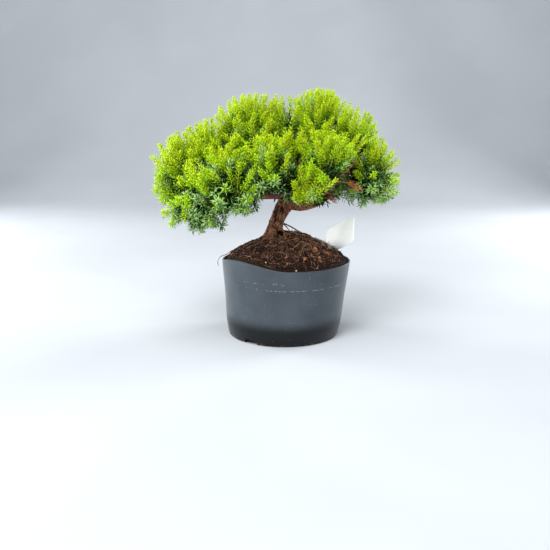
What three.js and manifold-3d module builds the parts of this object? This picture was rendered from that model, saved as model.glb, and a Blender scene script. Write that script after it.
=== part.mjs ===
// A juniper bonsai in a cut-down plastic nursery pot, with a blank plant label in its soil.
// Millimetres, +Z up. The origin is under the middle of the pot, +X is to the right and -Y is the front.
import * as THREE from "three";
import { mergeVertices } from "three/addons/utils/BufferGeometryUtils.js";
import Module from "manifold-3d";

const wasm = await Module();
wasm.setup();

// Driving dimensions
const CLEARANCE = 0.3; // gap kept between neighbouring pieces

const POT = {
  height: 95, // up to the lowest stretch of the cut rim
  baseRadius: 69.5,
  rimRadius: 79.2,
  wall: 1.8,
  floor: 2.5,
  footHeight: 19, // band at the bottom that tucks in under the wall
  footTuck: 1.8,
  lean: 3, // how far the rim stands over to the right
  segments: 40,
};
const RIM = {
  rise: 8.5, // the cut climbs at the front left
  riseCentre: 46, // degrees from the front towards the left
  riseHalfWidth: 50,
  ear: 1.6, // the squeezed rim flares at its left and right ends
  earSharpness: 10,
  flareFrom: 45, // height where the squeeze starts
};
const NOTCH = { width: 18, height: 5.5, depth: 9, count: 3, first: 35 }; // drain notches, degrees from the front

const SOIL = { plateauRadius: 31, groundHeight: 120.5, edgeDrop: 1.5, roughness: 1.1 };
const GROUND = SOIL.groundHeight + CLEARANCE; // the flat cut under the trunk

const LABEL = {
  width: 48.6,
  height: 41.5,
  thickness: 0.9,
  corner: 5,
  centre: [73, 32, 119.7],
  across: [0.685, -0.535, 0.495],
  along: [0.051, 0.723, 0.689],
};

const TRUNK = {
  path: [[-17, 0, 113], [-15, 0, 121], [-10, 0, 139], [-5, 0, 153.5], [2, 0, 166], [6, 0, 173]],
  radius: 8.8,
  flare: 6.5, // extra radius of the root flare at the ground
  flareFade: 0.16, // share of the trunk's length over which the flare dies away
  forkSwell: 1.4,
  sides: 14,
  steps: 13,
};
const ROOTS = [
  { path: [[-6, -5, 137], [-1, -8, 129], [3, -11, 122], [5, -12, 115]], from: 3.2, to: 2.2 },
  { path: [[-16, -5, 135], [-22, -9, 126], [-27, -12, 115]], from: 4, to: 2.6 },
  { path: [[-14, 5, 135], [-18, 13, 125], [-20, 17, 114]], from: 4, to: 2.6 },
  { path: [[-3, 4, 141], [5, 8, 137], [15, 11, 131], [24, 13, 124], [27, 14, 115]], from: 1.8, to: 1.1 },
];
const ROOT_CAVE = { centre: [-4.5, -10.5, 122.5], radii: [2.8, 5, 5] }; // hollow between two surface roots

// Each mass of foliage fills the part of its ellipsoid that lies nearer to it than to any other mass.
// lift is how strongly its shoots turn up; the low left mass hangs instead.
const MASSES = [
  { name: "foliage_left_end", centre: [-124, 0, 204], radii: [43, 46, 46], lift: 0.5 },
  { name: "foliage_left_low", centre: [-108, -18, 166], radii: [47, 42, 34], lift: -0.3 },
  { name: "foliage_left_shoulder", centre: [-92, 8, 226], radii: [42, 48, 40], lift: 0.8 },
  { name: "foliage_top_left", centre: [-42, 4, 254], radii: [46, 50, 45], lift: 0.8 },
  { name: "foliage_top_middle", centre: [4, 10, 256], radii: [36, 48, 39], lift: 0.8 },
  { name: "foliage_top_right", centre: [42, 4, 260], radii: [37, 48, 45], lift: 0.8 },
  { name: "foliage_right_shoulder", centre: [78, 4, 238], radii: [42, 48, 47], lift: 0.7 },
  { name: "foliage_right_end", centre: [104, -4, 203], radii: [41, 45, 39], lift: 0.3 },
  { name: "foliage_front_left", centre: [-66, -52, 198], radii: [52, 48, 42], lift: 0.5 },
  { name: "foliage_front_middle", centre: [-10, -60, 212], radii: [46, 46, 42], lift: 0.6 },
  { name: "foliage_front_right", centre: [46, -54, 216], radii: [48, 46, 42], lift: 0.6 },
  { name: "foliage_back_left", centre: [-52, 58, 212], radii: [58, 52, 46], lift: 0.5 },
  { name: "foliage_back_right", centre: [36, 60, 214], radii: [60, 52, 46], lift: 0.5 },
  { name: "foliage_front_low", centre: [38, -42, 186], radii: [40, 34, 20], lift: 0.4 },
].map((mass, index) => ({
  ...mass,
  centre: new THREE.Vector3(...mass.centre),
  radii: new THREE.Vector3(...mass.radii),
  seed: 101 + index,
}));
const OPEN_SPACE = { centre: new THREE.Vector3(-6, -70, 168), radii: new THREE.Vector3(26, 80, 22) }; // by the fork
const MASS_GAP = 0.03; // gap between two masses, as a share of their radii
const MASS_ENTRY = 0.8; // share of a mass's radius at which its bough ends and its stem begins
const CORE = { share: 0.6, margin: 0.02, detail: 1 }; // the dense inside of a mass, as a share of its radius
const TWIGS = { most: 19, tried: 260, leave: 0.3, reaches: [1, 0.87, 0.75] }; // shares of the stem and radius
const EVEN_STEPS = { up: 0.7548777, round: 0.5698403 }; // steps that spread any number of twigs evenly
const STEM = { sides: 5, end: 1.6 };
const SPRAY = { length: 23, whorls: 3, sides: 4, core: 3.2, needle: 9, sweep: 6, fade: 0.5, spacing: 11 };

// Each bough is one tapering limb from its parent to the mass that it carries. Its path stays outside
// the mass's entry, where its tip is added.
const BOUGHS = [
  { name: "bough_leader", mass: "foliage_top_right", from: 5, to: 2.2,
    path: [[5, 0, 171], [10, 1, 184], [18, 2, 203], [21, 3, 220]] },
  { name: "bough_left", mass: "foliage_left_end", from: 3.8, to: 2,
    path: [[5, -4, 164], [2, -6, 171], [-7, -7, 175], [-24, -5, 175], [-52, -2, 180]] },
  { name: "bough_right", mass: "foliage_right_end", from: 5.2, to: 2.2,
    path: [[3, 0, 164], [13, -2, 162.5], [25, -3, 162], [36, -4, 165], [54, -4, 175]] },
  { name: "bough_left_low", mass: "foliage_left_low", from: 2.4, to: 1.6,
    path: [[-36, -3, 177], [-48, -7, 174]] },
  { name: "bough_left_shoulder", mass: "foliage_left_shoulder", from: 2.5, to: 1.6,
    path: [[-40, -3, 178], [-50, 2, 188], [-64, 4, 201]] },
  { name: "bough_top_left", mass: "foliage_top_left", from: 3, to: 1.8,
    path: [[14, 2, 194], [4, 3, 206], [-10, 3, 219]] },
  { name: "bough_top_middle", mass: "foliage_top_middle", from: 2.6, to: 1.7,
    path: [[19, 3, 208], [13, 7, 219]] },
  { name: "bough_right_shoulder", mass: "foliage_right_shoulder", from: 3, to: 1.7,
    path: [[24, -3, 162], [38, 1, 176], [54, 3, 197]] },
  { name: "bough_front_left", mass: "foliage_front_left", from: 2.6, to: 1.7,
    path: [[-12, -7, 175], [-22, -16, 180]] },
  { name: "bough_front_middle", mass: "foliage_front_middle", from: 2.6, to: 1.6,
    path: [[6, -1, 176], [4, -14, 184]] },
  { name: "bough_front_right", mass: "foliage_front_right", from: 2.8, to: 1.7,
    path: [[10, 1, 185], [19, -10, 191]] },
  { name: "bough_back_left", mass: "foliage_back_left", from: 2.8, to: 1.7,
    path: [[-2, -6, 173], [-8, 8, 181], [-24, 24, 190]] },
  { name: "bough_back_right", mass: "foliage_back_right", from: 3, to: 1.8,
    path: [[11, 1, 187], [15, 14, 193]] },
  { name: "bough_front_low", mass: "foliage_front_low", from: 2.2, to: 1.4,
    path: [[18, -3, 162], [24, -11, 167]] },
];
const BOUGH = { sides: 6, stepLength: 14 };

const MATERIALS = {
  pot: new THREE.MeshStandardMaterial({ color: "#454b50", roughness: 0.5, metalness: 0 }),
  soil: new THREE.MeshStandardMaterial({ color: "#3a2a20", roughness: 0.95, metalness: 0 }),
  bark: new THREE.MeshStandardMaterial({ color: "#5d4532", roughness: 0.9, metalness: 0 }),
  foliage: new THREE.MeshStandardMaterial({ color: "#8fb32a", roughness: 0.6, metalness: 0 }),
  label: new THREE.MeshStandardMaterial({ color: "#dfe6e6", roughness: 0.4, metalness: 0 }),
};

// Small helpers
const point = (coordinates) => new THREE.Vector3(...coordinates);
const radians = THREE.MathUtils.degToRad;
const mix = THREE.MathUtils.lerp;

function seeded(seed) {
  let state = seed >>> 0;
  return () => {
    state = (state + 0x6d2b79f5) >>> 0;
    let bits = Math.imul(state ^ (state >>> 15), state | 1);
    bits ^= bits + Math.imul(bits ^ (bits >>> 7), bits | 61);
    return ((bits ^ (bits >>> 14)) >>> 0) / 4294967296;
  };
}

// A closed three.js geometry as a solid that can be joined and cut.
function solidOf(geometry) {
  const bare = new THREE.BufferGeometry();
  bare.setAttribute("position", geometry.getAttribute("position"));
  bare.setIndex(geometry.getIndex());
  const merged = mergeVertices(bare, 1e-4);
  return new wasm.Manifold(
    new wasm.Mesh({
      numProp: 3,
      vertProperties: merged.getAttribute("position").array,
      triVerts: new Uint32Array(merged.getIndex().array),
    }),
  );
}

// The largest body of a solid, without loose scraps or sealed hollows.
function largestBody(solid) {
  return solid.decompose().reduce((best, body) => (body.volume() > best.volume() ? body : best));
}

function meshOf(name, solid, material) {
  const { vertProperties, triVerts } = solid.getMesh();
  const geometry = new THREE.BufferGeometry();
  geometry.setAttribute("position", new THREE.BufferAttribute(vertProperties, 3));
  geometry.setIndex(new THREE.BufferAttribute(triVerts, 1));
  const flat = geometry.toNonIndexed();
  flat.computeVertexNormals();
  const mesh = new THREE.Mesh(flat, material);
  mesh.name = name;
  return mesh;
}

// Moves every vertex of a geometry by a function of its place.
function warp(geometry, move) {
  const position = geometry.getAttribute("position");
  const vertex = new THREE.Vector3();
  for (let i = 0; i < position.count; i++) {
    move(vertex.fromBufferAttribute(position, i));
    position.setXYZ(i, vertex.x, vertex.y, vertex.z);
  }
  return geometry;
}

// A profile of [radius, height] pairs turned about +Z.
function turned(profile, segments) {
  const points = profile.map(([radius, height]) => new THREE.Vector2(radius, height));
  return new THREE.LatheGeometry(points, segments).rotateX(Math.PI / 2);
}

// A limb: a cylinder bent along a curve, its radius given by the share of the length and the angle round it.
function limb(curve, radiusAt, sides, steps) {
  const frames = curve.computeFrenetFrames(steps);
  const cylinder = new THREE.CylinderGeometry(1, 1, 1, sides, steps);
  return warp(cylinder, (vertex) => {
    const step = Math.round((vertex.y + 0.5) * steps);
    const angle = Math.atan2(vertex.z, vertex.x);
    const radius = Math.hypot(vertex.x, vertex.z) * radiusAt(step / steps, angle);
    vertex.copy(curve.getPointAt(step / steps));
    vertex.addScaledVector(frames.normals[step], radius * Math.cos(angle));
    vertex.addScaledVector(frames.binormals[step], -radius * Math.sin(angle));
  });
}

function taperedLimb(path, from, to, sides, stepLength, swell = 0) {
  const curve = new THREE.CatmullRomCurve3(path);
  const steps = Math.max(2, Math.ceil(curve.getLength() / stepLength));
  return limb(curve, (share) => mix(from, to, share) + swell, sides, steps);
}

// Pot: turned shell, then the uneven cut rim, the squeezed ends and the drain notches.
const footTop = POT.baseRadius + 2.5;
const potOuter = [
  [POT.baseRadius - 3, 0],
  [POT.baseRadius, 3],
  [footTop, POT.footHeight - 3],
  [footTop + POT.footTuck * 0.5, POT.footHeight],
  [footTop + POT.footTuck, POT.footHeight + 4],
  [mix(footTop + POT.footTuck, POT.rimRadius, 0.5), (POT.footHeight + 4 + POT.height) / 2],
  [POT.rimRadius, POT.height],
];
const wallSlope = (POT.rimRadius - footTop - POT.footTuck) / (POT.height - POT.footHeight - 4);
const potInner = potOuter
  .slice(2)
  .map(([radius, height]) => [radius - POT.wall, height])
  .reverse();

function frontAngle(x, y) {
  return THREE.MathUtils.radToDeg(Math.atan2(-x, -y)); // degrees from the front towards the left
}

function rimRise(x, y) {
  const offset = (frontAngle(x, y) - RIM.riseCentre) / RIM.riseHalfWidth;
  return Math.abs(offset) < 1 ? RIM.rise * Math.cos((offset * Math.PI) / 2) ** 2 : 0;
}

function leanAt(vertex) {
  return POT.lean * Math.min(vertex.z / POT.height, 1);
}

function squeezeRim(vertex) {
  const share = THREE.MathUtils.smoothstep(vertex.z, RIM.flareFrom, POT.height);
  const radius = Math.hypot(vertex.x, vertex.y);
  const lean = leanAt(vertex);
  if (radius > 0 && share > 0) {
    const ear = RIM.ear * Math.abs(vertex.x / radius) ** RIM.earSharpness;
    const rise = rimRise(vertex.x, vertex.y) * share;
    const stretch = 1 + (ear * share + rise * wallSlope) / radius; // a higher cut lies further out on the cone
    vertex.x *= stretch;
    vertex.y *= stretch;
    vertex.z += rise;
  }
  vertex.x += lean;
}

function makePot() {
  const floorEdge = [POT.baseRadius - POT.wall - 1, POT.floor + 1];
  const profile = [[0, 0], ...potOuter, ...potInner, floorEdge, [floorEdge[0] - 2, POT.floor], [0, POT.floor]];
  const shell = solidOf(warp(turned(profile, POT.segments), squeezeRim));
  const notches = Array.from({ length: NOTCH.count }, (_, index) => {
    const angle = radians(NOTCH.first + (index * 360) / NOTCH.count);
    const cutter = new THREE.BoxGeometry(NOTCH.width, NOTCH.depth * 2, NOTCH.height * 2);
    cutter.translate(0, -POT.baseRadius - 2, 0).rotateZ(-angle);
    return solidOf(cutter);
  });
  return notches.reduce((pot, notch) => pot.subtract(notch), shell);
}

// Label: a plate with round corners, leaning back, one corner sunk in the soil.
function makeLabel(swell) {
  const [halfWidth, halfHeight] = [LABEL.width / 2 + swell, LABEL.height / 2 + swell];
  const corner = LABEL.corner + swell;
  const outline = new THREE.Shape();
  const corners = [[1, 1], [-1, 1], [-1, -1], [1, -1]];
  corners.forEach(([right, top], quarter) => {
    const x = right * (halfWidth - corner);
    const y = top * (halfHeight - corner);
    outline.absarc(x, y, corner, (quarter * Math.PI) / 2, ((quarter + 1) * Math.PI) / 2, false);
  });
  const thickness = LABEL.thickness + 2 * swell;
  const plate = new THREE.ExtrudeGeometry(outline, { depth: thickness, bevelEnabled: false, curveSegments: 4 });
  const across = point(LABEL.across).normalize();
  const facing = new THREE.Vector3().crossVectors(across, point(LABEL.along)).normalize();
  const along = new THREE.Vector3().crossVectors(facing, across);
  const place = new THREE.Matrix4().makeBasis(across, along, facing).setPosition(point(LABEL.centre));
  return solidOf(plate.translate(0, 0, -thickness / 2).applyMatrix4(place));
}

// Soil: fills the pot and heaps up to a flat top under the tree.
function makeSoil() {
  const random = seeded(7);
  const wallGap = POT.wall + CLEARANCE;
  const edge = [POT.rimRadius - wallGap - 0.4, POT.height - SOIL.edgeDrop];
  const sides = potOuter.slice(2, -1).map(([radius, height]) => [radius - wallGap, height]);
  const slope = [[0.86, 0.28], [0.72, 0.44], [0.5, 0.62], [0.3, 0.78], [0.1, 0.88]].map(([outward, up]) => [
    mix(SOIL.plateauRadius, edge[0], outward),
    mix(edge[1], SOIL.groundHeight, up),
  ]);
  const bottom = POT.floor + CLEARANCE;
  const foot = POT.baseRadius - wallGap - 3;
  const top = [[SOIL.plateauRadius, SOIL.groundHeight], [0, SOIL.groundHeight]];
  const heap = turned([[0, bottom], [foot, bottom], ...sides, edge, ...slope, ...top], POT.segments);
  const bumps = new Map();
  warp(heap, (vertex) => {
    const radius = Math.hypot(vertex.x, vertex.y);
    const lean = leanAt(vertex) * Math.min(radius / edge[0], 1);
    if (radius > SOIL.plateauRadius + 1 && vertex.z > edge[1] - 1) {
      const key = `${Math.round(vertex.x * 10)} ${Math.round(vertex.y * 10)}`;
      if (!bumps.has(key)) bumps.set(key, (random() - 0.5) * 2 * SOIL.roughness);
      const outward = (radius - SOIL.plateauRadius) / (edge[0] - SOIL.plateauRadius);
      vertex.z += bumps.get(key) * (1 - outward ** 4) + rimRise(vertex.x, vertex.y) * outward ** 2;
    }
    vertex.x += lean;
  });
  return solidOf(heap).subtract(makeLabel(CLEARANCE));
}

// Trunk: leans to the right, flares into surface roots and is cut flat at the ground.
function makeTrunk(swell) {
  const curve = new THREE.CatmullRomCurve3(TRUNK.path.map(point));
  const radiusAt = (share, angle) => {
    const buttress = 1 + 0.3 * Math.cos(3 * angle + 0.6) + 0.15 * Math.cos(5 * angle);
    const flare = TRUNK.flare * Math.exp(-share / TRUNK.flareFade) * buttress;
    const flutes = 0.35 * Math.cos(4 * angle + 5 * share);
    const fork = TRUNK.forkSwell * Math.exp(-(((share - 0.82) / 0.12) ** 2));
    const shoulder = share > 0.95 ? 0.72 : 1;
    return (TRUNK.radius + flutes + fork) * shoulder + flare + swell;
  };
  const bole = solidOf(limb(curve, radiusAt, TRUNK.sides, TRUNK.steps));
  const roots = ROOTS.map(({ path, from, to }) => solidOf(taperedLimb(path.map(point), from, to, 6, 7, swell)));
  const cave = new THREE.SphereGeometry(1, 8, 6).scale(...ROOT_CAVE.radii).translate(...ROOT_CAVE.centre);
  const below = new THREE.BoxGeometry(200, 200, 100).translate(0, 0, GROUND - swell - 50);
  return largestBody(wasm.Manifold.union([bole, ...roots]).subtract(solidOf(cave)).subtract(solidOf(below)));
}

// How far out a place is in a mass: 0 at the centre and 1 at the outside.
function reachIn(mass, place) {
  const { centre, radii } = mass;
  return Math.hypot(
    (place.x - centre.x) / radii.x,
    (place.y - centre.y) / radii.y,
    (place.z - centre.z) / radii.z,
  );
}

function inOwnSpace(mass, place) {
  const reach = reachIn(mass, place);
  return reach <= 1 && MASSES.every((other) => other === mass || reachIn(other, place) > reach + MASS_GAP);
}

// Boughs: the path ends where it enters the mass, on the way to its centre.
function makeBoughs(trunk) {
  const taken = [trunk];
  return BOUGHS.map(({ name, mass: massName, path, from, to }) => {
    const mass = MASSES.find((candidate) => candidate.name === massName);
    const points = path.map(point);
    const last = points[points.length - 1];
    const tip = mass.centre.clone().lerp(last, MASS_ENTRY / reachIn(mass, last));
    points.push(tip);
    const shape = (swell) => solidOf(taperedLimb(points, from, to, BOUGH.sides, BOUGH.stepLength, swell));
    const solid = largestBody(taken.reduce((rest, neighbour) => rest.subtract(neighbour), shape(0)));
    taken.push(shape(CLEARANCE));
    mass.stemRoot = tip;
    mass.stemRadius = to;
    return { name, solid, clearance: taken[taken.length - 1], curve: new THREE.CatmullRomCurve3(points), from };
  });
}

// Whether a place is clear of every limb that runs through the crown.
function clearOfLimbs(limbs, place, margin) {
  return limbs.every(({ samples, from }) =>
    samples.every((sample) => sample.distanceTo(place) > from + margin));
}

// A twig from its foot on the stem, and on it a spray: whorls of forward-swept needles up to the tip,
// each whorl turned on the last.
function makeTwig(foot, tip, heading, length) {
  const { whorls, sides } = SPRAY;
  const acrossX = Math.abs(heading.x) < 0.7;
  const sideways = new THREE.Vector3(acrossX ? 1 : 0, acrossX ? 0 : 1, 0).cross(heading).normalize();
  const upward = new THREE.Vector3().crossVectors(heading, sideways);
  const start = tip.clone().addScaledVector(heading, -length);
  const isNeedle = (whorl, side) => (whorl + side) % 2 === 0;
  const places = [foot, tip];
  const middles = [tip];
  for (let whorl = 0; whorl < whorls; whorl++) {
    const middle = start.clone().lerp(tip, whorl / whorls);
    const fade = 1 - SPRAY.fade * (whorl / (whorls - 1)) ** 1.5;
    for (let side = 0; side < sides; side++) {
      const angle = (side / sides) * Math.PI * 2;
      const radius = fade * (isNeedle(whorl, side) ? SPRAY.needle : SPRAY.core);
      const place = middle.clone().addScaledVector(heading, isNeedle(whorl, side) ? SPRAY.sweep * fade : 0);
      place.addScaledVector(sideways, radius * Math.cos(angle));
      places.push(place.addScaledVector(upward, radius * Math.sin(angle)));
    }
    middles.push(middle);
  }
  const at = (whorl, side) => 2 + whorl * sides + (side % sides);
  const faces = [];
  for (let side = 0; side < sides; side++) {
    faces.push(0, at(0, side + 1), at(0, side));
    faces.push(1, at(whorls - 1, side), at(whorls - 1, side + 1));
    for (let whorl = 0; whorl < whorls - 1; whorl++) {
      const corners = [at(whorl, side), at(whorl, side + 1), at(whorl + 1, side + 1), at(whorl + 1, side)];
      if (isNeedle(whorl, side)) corners.push(corners.shift()); // the diagonal joins two valleys
      const [a, b, c, d] = corners;
      faces.push(a, b, c, a, c, d);
    }
  }
  const geometry = new THREE.BufferGeometry().setFromPoints(places);
  geometry.setIndex(faces);
  return { geometry, places, middles };
}

// A core that fills the dense inside of a mass, pulled in wherever a neighbour's space begins.
function coreGeometry(mass) {
  const ball = new THREE.IcosahedronGeometry(1, CORE.detail);
  return warp(ball, (vertex) => {
    const outward = vertex.clone().multiply(mass.radii);
    let share = CORE.share;
    while (share > 0.1 && !inOwnSpace(mass, mass.centre.clone().addScaledVector(outward, share + CORE.margin))) {
      share -= 0.02;
    }
    vertex.copy(mass.centre).addScaledVector(outward, share);
  });
}

// A mass: a stem from its bough to its centre, and twigs spread evenly round that, each with its spray.
// A twig is skipped where it would leave the mass's space, hide the fork, touch a limb or crowd another spray.
function makeMass(mass, limbs) {
  const random = seeded(mass.seed);
  const toCentre = mass.centre.clone().sub(mass.stemRoot).normalize();
  const stemStart = mass.stemRoot.clone().addScaledVector(toCentre, CLEARANCE);
  const pieces = [
    taperedLimb([stemStart, mass.centre], mass.stemRadius, STEM.end, STEM.sides, mass.radii.length()),
    coreGeometry(mass),
  ];
  const taken = [];
  const fits = ({ places, middles }) =>
    places.every((place) => reachIn(OPEN_SPACE, place) > 1) &&
    places.every((place) => inOwnSpace(mass, place) && clearOfLimbs(limbs, place, CLEARANCE)) &&
    middles.every((middle) => taken.every((other) => other.distanceTo(middle) > SPRAY.spacing));

  for (let tried = 0, grown = 0; tried < TWIGS.tried && grown < TWIGS.most; tried++) {
    const height = 1 - 2 * ((tried * EVEN_STEPS.up) % 1);
    const turn = 2 * Math.PI * ((tried * EVEN_STEPS.round) % 1);
    const ring = Math.sqrt(1 - height * height);
    const outward = new THREE.Vector3(ring * Math.cos(turn), ring * Math.sin(turn), height).multiply(mass.radii);
    const heading = outward.clone().normalize();
    heading.z += mass.lift * (1 - Math.abs(heading.z));
    heading.normalize();
    const length = SPRAY.length * (0.85 + 0.3 * random());
    const foot = mass.centre.clone().lerp(mass.stemRoot, TWIGS.leave * random());
    const twig = TWIGS.reaches
      .map((reach) => mass.centre.clone().addScaledVector(outward, reach - 0.01))
      .map((tip) => makeTwig(foot, tip, heading, length))
      .find(fits);
    if (!twig) continue;
    pieces.push(twig.geometry);
    taken.push(...twig.middles);
    grown += 1;
  }
  const fused = wasm.Manifold.union(pieces.map(solidOf));
  return largestBody(limbs.reduce((rest, { clearance }) => rest.subtract(clearance), fused));
}

// Assembly
const trunkClearance = makeTrunk(CLEARANCE);
const boughs = makeBoughs(trunkClearance);
const limbs = boughs.map((bough) => ({ ...bough, samples: bough.curve.getSpacedPoints(24).slice(0, -2) }));
limbs.push({
  clearance: trunkClearance,
  from: TRUNK.radius,
  samples: new THREE.CatmullRomCurve3(TRUNK.path.map(point)).getSpacedPoints(24),
});

const bonsai = new THREE.Group();
bonsai.add(meshOf("pot", makePot(), MATERIALS.pot));
bonsai.add(meshOf("soil", makeSoil(), MATERIALS.soil));
bonsai.add(meshOf("plant_label", makeLabel(0), MATERIALS.label));
bonsai.add(meshOf("trunk", makeTrunk(0), MATERIALS.bark));
for (const { name, solid } of boughs) bonsai.add(meshOf(name, solid, MATERIALS.bark));
for (const mass of MASSES) bonsai.add(meshOf(mass.name, makeMass(mass, limbs), MATERIALS.foliage));

export default bonsai;
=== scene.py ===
# A juniper bonsai in a cut-down nursery pot: bark, needles, soil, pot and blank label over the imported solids.
# Sizes are millimetres, with +X to the right, -Y the front and +Z up. Meshes are written in metres.
import math
from types import SimpleNamespace as Sizes

import bmesh
import bpy
import numpy as np
from mathutils import Matrix, Vector, noise
from mathutils.kdtree import KDTree


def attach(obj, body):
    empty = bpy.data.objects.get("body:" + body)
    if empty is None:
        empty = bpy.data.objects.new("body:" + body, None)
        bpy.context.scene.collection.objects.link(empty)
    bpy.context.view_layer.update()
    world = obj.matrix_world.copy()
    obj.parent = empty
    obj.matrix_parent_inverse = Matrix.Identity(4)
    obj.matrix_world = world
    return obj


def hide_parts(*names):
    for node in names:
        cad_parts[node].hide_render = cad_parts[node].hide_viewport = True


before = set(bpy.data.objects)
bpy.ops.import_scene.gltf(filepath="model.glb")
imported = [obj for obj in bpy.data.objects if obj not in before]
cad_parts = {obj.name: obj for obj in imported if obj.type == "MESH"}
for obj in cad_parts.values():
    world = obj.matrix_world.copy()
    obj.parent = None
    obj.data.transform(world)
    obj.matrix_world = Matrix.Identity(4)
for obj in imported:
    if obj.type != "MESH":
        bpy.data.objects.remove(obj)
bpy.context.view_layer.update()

MM = 0.001
MOST_TRIANGLES = 190000  # in one piece
FULL_TURN = 2 * math.pi
SEEDS = Sizes(crumbs=40, threads=60, sprigs=55, dead_twigs=77)

# Sizes of the pot, soil, label and limbs, as on the solids
POT = Sizes(height=95, base_radius=70.3, rim_radius=79.2, wall=1.8, floor=2.5, foot_height=19, foot_tuck=1,
            lean=3)
RIM = Sizes(rise=8.5, rise_centre=46, rise_half_width=50, ear=1.6, ear_sharpness=10, flare_from=45)
NOTCH = Sizes(width=18, height=5.5, depth=9, count=3, first=35)
SOIL = Sizes(plateau_radius=31, ground=120.5, edge_radius=76.7, edge_drop=1.5, bottom=2.8, bottom_radius=62,
             foot=(69, 16), side=(75.2, 80))
HEAP_OUTWARD = (0, 0.1, 0.3, 0.5, 0.72, 0.86, 1)  # share of the way from the plateau to the edge
HEAP_UP = (1, 0.88, 0.78, 0.62, 0.44, 0.28, 0)  # share of the heap's height there
ROOT_MAT = Sizes(centre=(9, 3), radius=16, height=6.5)  # matted roots right of the trunk
LABEL = Sizes(width=48.6, height=41.5, thickness=0.9, corner=5, soft_edge=0.2, centre=(73, 32, 119.7),
              across=(0.685, -0.535, 0.495), along=(0.051, 0.723, 0.689))
TRUNK = Sizes(path=((-17, 0, 113), (-15, 0, 121), (-10, 0, 139), (-5, 0, 153.5), (2, 0, 166), (6, 0, 173)),
              radius=8.8, flare=6.5, flare_fade=0.16, fork_swell=1.4)
ROOTS = (
    (((-6, -5, 137), (-1, -8, 129), (3, -11, 122), (5, -12, 115)), 3.2, 2.2),
    (((-16, -5, 135), (-22, -9, 126), (-27, -12, 115)), 4, 2.6),
    (((-14, 5, 135), (-18, 13, 125), (-20, 17, 114)), 4, 2.6),
    (((-3, 4, 141), (5, 8, 137), (15, 11, 131), (24, 13, 124), (27, 14, 115)), 1.1, 0.8),
)
ROOT_CAVE = Sizes(centre=(-5, -10, 126.5), radii=(4.2, 6.5, 6.5))
# Thin roots: their places, with the height above the heap, and their radius
ROOTLETS = (
    (((-2, -1, 17), (3, -2, 11), (8, -3, 4), (12, -4, -1)), 0.8),
    (((0, 2, 6), (10, 2, 2.2), (20, 3, 1.5), (30, 4, 0.8), (40, 5, -0.6)), 0.8),
    (((-2, -7, 8), (8, -7, 2.5), (18, -6, 1), (27, -5, 0.6), (38, -2, -0.6)), 0.7),
    (((-14, -15, 4), (-6, -19, 1), (6, -21, 0.8), (18, -20, 0.8), (30, -18, -0.5)), 0.8),
    (((-5, -14, 3), (4, -16, 0.8), (13, -14, 0.9), (24, -12, 0.7), (36, -12, -0.5)), 0.7),
    (((-24, -6, 4), (-34, -5, 1.2), (-44, -6, 0.8), (-55, -8, -0.5)), 1.0),
    (((-22, -12, 3), (-31, -14, 1), (-42, -19, 0.7), (-50, -20, -0.5)), 0.8),
    (((-21, 14, 4), (-30, 21, 1), (-40, 26, 0.7), (-50, 30, -0.5)), 0.9),
    (((-12, 14, 5), (-8, 24, 1), (-2, 35, 0.8), (0, 46, -0.5)), 0.9),
    (((-2, 8, 7), (8, 16, 1.5), (18, 24, 0.8), (26, 34, -0.5)), 0.8),
    (((-16, -14, 4), (-17, -24, 1), (-13, -35, 0.7), (-14, -45, -0.5)), 0.8),
    (((-58, -8, 0), (-65, -10, 4), (-72, -8, 6), (-79, -11, 5), (-83, -9, -1), (-82, -13, -7)), 0.5),
)
# Crumbs in the soil: dark and light colour, number, sizes, flatness, and place and size of those in sight
CRUMBS = (
    ("dark", "#0d0705", "#1d120d", 2000, (0.5, 2.2), 0.7, ()),
    ("brown", "#24140e", "#3a241b", 1500, (0.5, 2.1), 0.7, ()),
    ("tan", "#5b3f30", "#8a6753", 420, (0.4, 1.2), 0.7, ()),
    ("orange", "#7c452c", "#a86946", 16, (1.6, 3.0), 0.4,
     ((53, -33, 5.4), (38, -34, 4.6), (24, -59, 4.6), (42, -51, 3.4), (33, -47, 2.8))),
    ("pale", "#b3a999", "#d8d0c4", 60, (0.4, 0.9), 0.8,
     ((-16, -61, 1), (-22, -66, 0.9), (-5, -48, 0.8), (14, -74, 1.1))),
)
# Fine roots: dark and light colour, number, lengths, radius, distances from a centre, heights over the heap
# and that centre
THREADS = (
    ("dark", "#100906", "#281812", 900, (8, 28), 0.36, (14, 73), (-0.6, 1.5), (0, 0)),
    ("brown", "#301c14", "#5f3e2d", 1100, (8, 26), 0.27, (14, 73), (-0.6, 1.6), (0, 0)),
    ("tan", "#74523f", "#bd967a", 700, (8, 26), 0.22, (14, 73), (-0.5, 1.7), (0, 0)),
    ("web_dark", "#1e120c", "#3e281c", 170, (16, 40), 0.6, (2, 26), (0.4, 4), (12, -2)),
    ("web_brown", "#4c3022", "#85604a", 120, (20, 44), 0.5, (2, 24), (0.6, 4.6), (12, -2)),
    ("web_tan", "#8a6850", "#bb9a7c", 50, (20, 44), 0.42, (2, 24), (0.8, 5), (12, -2)),
    ("white", "#bdb8a6", "#dcd8ca", 22, (5, 13), 0.16, (0, 6), (0.5, 7), (52, -4)),
)

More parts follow.
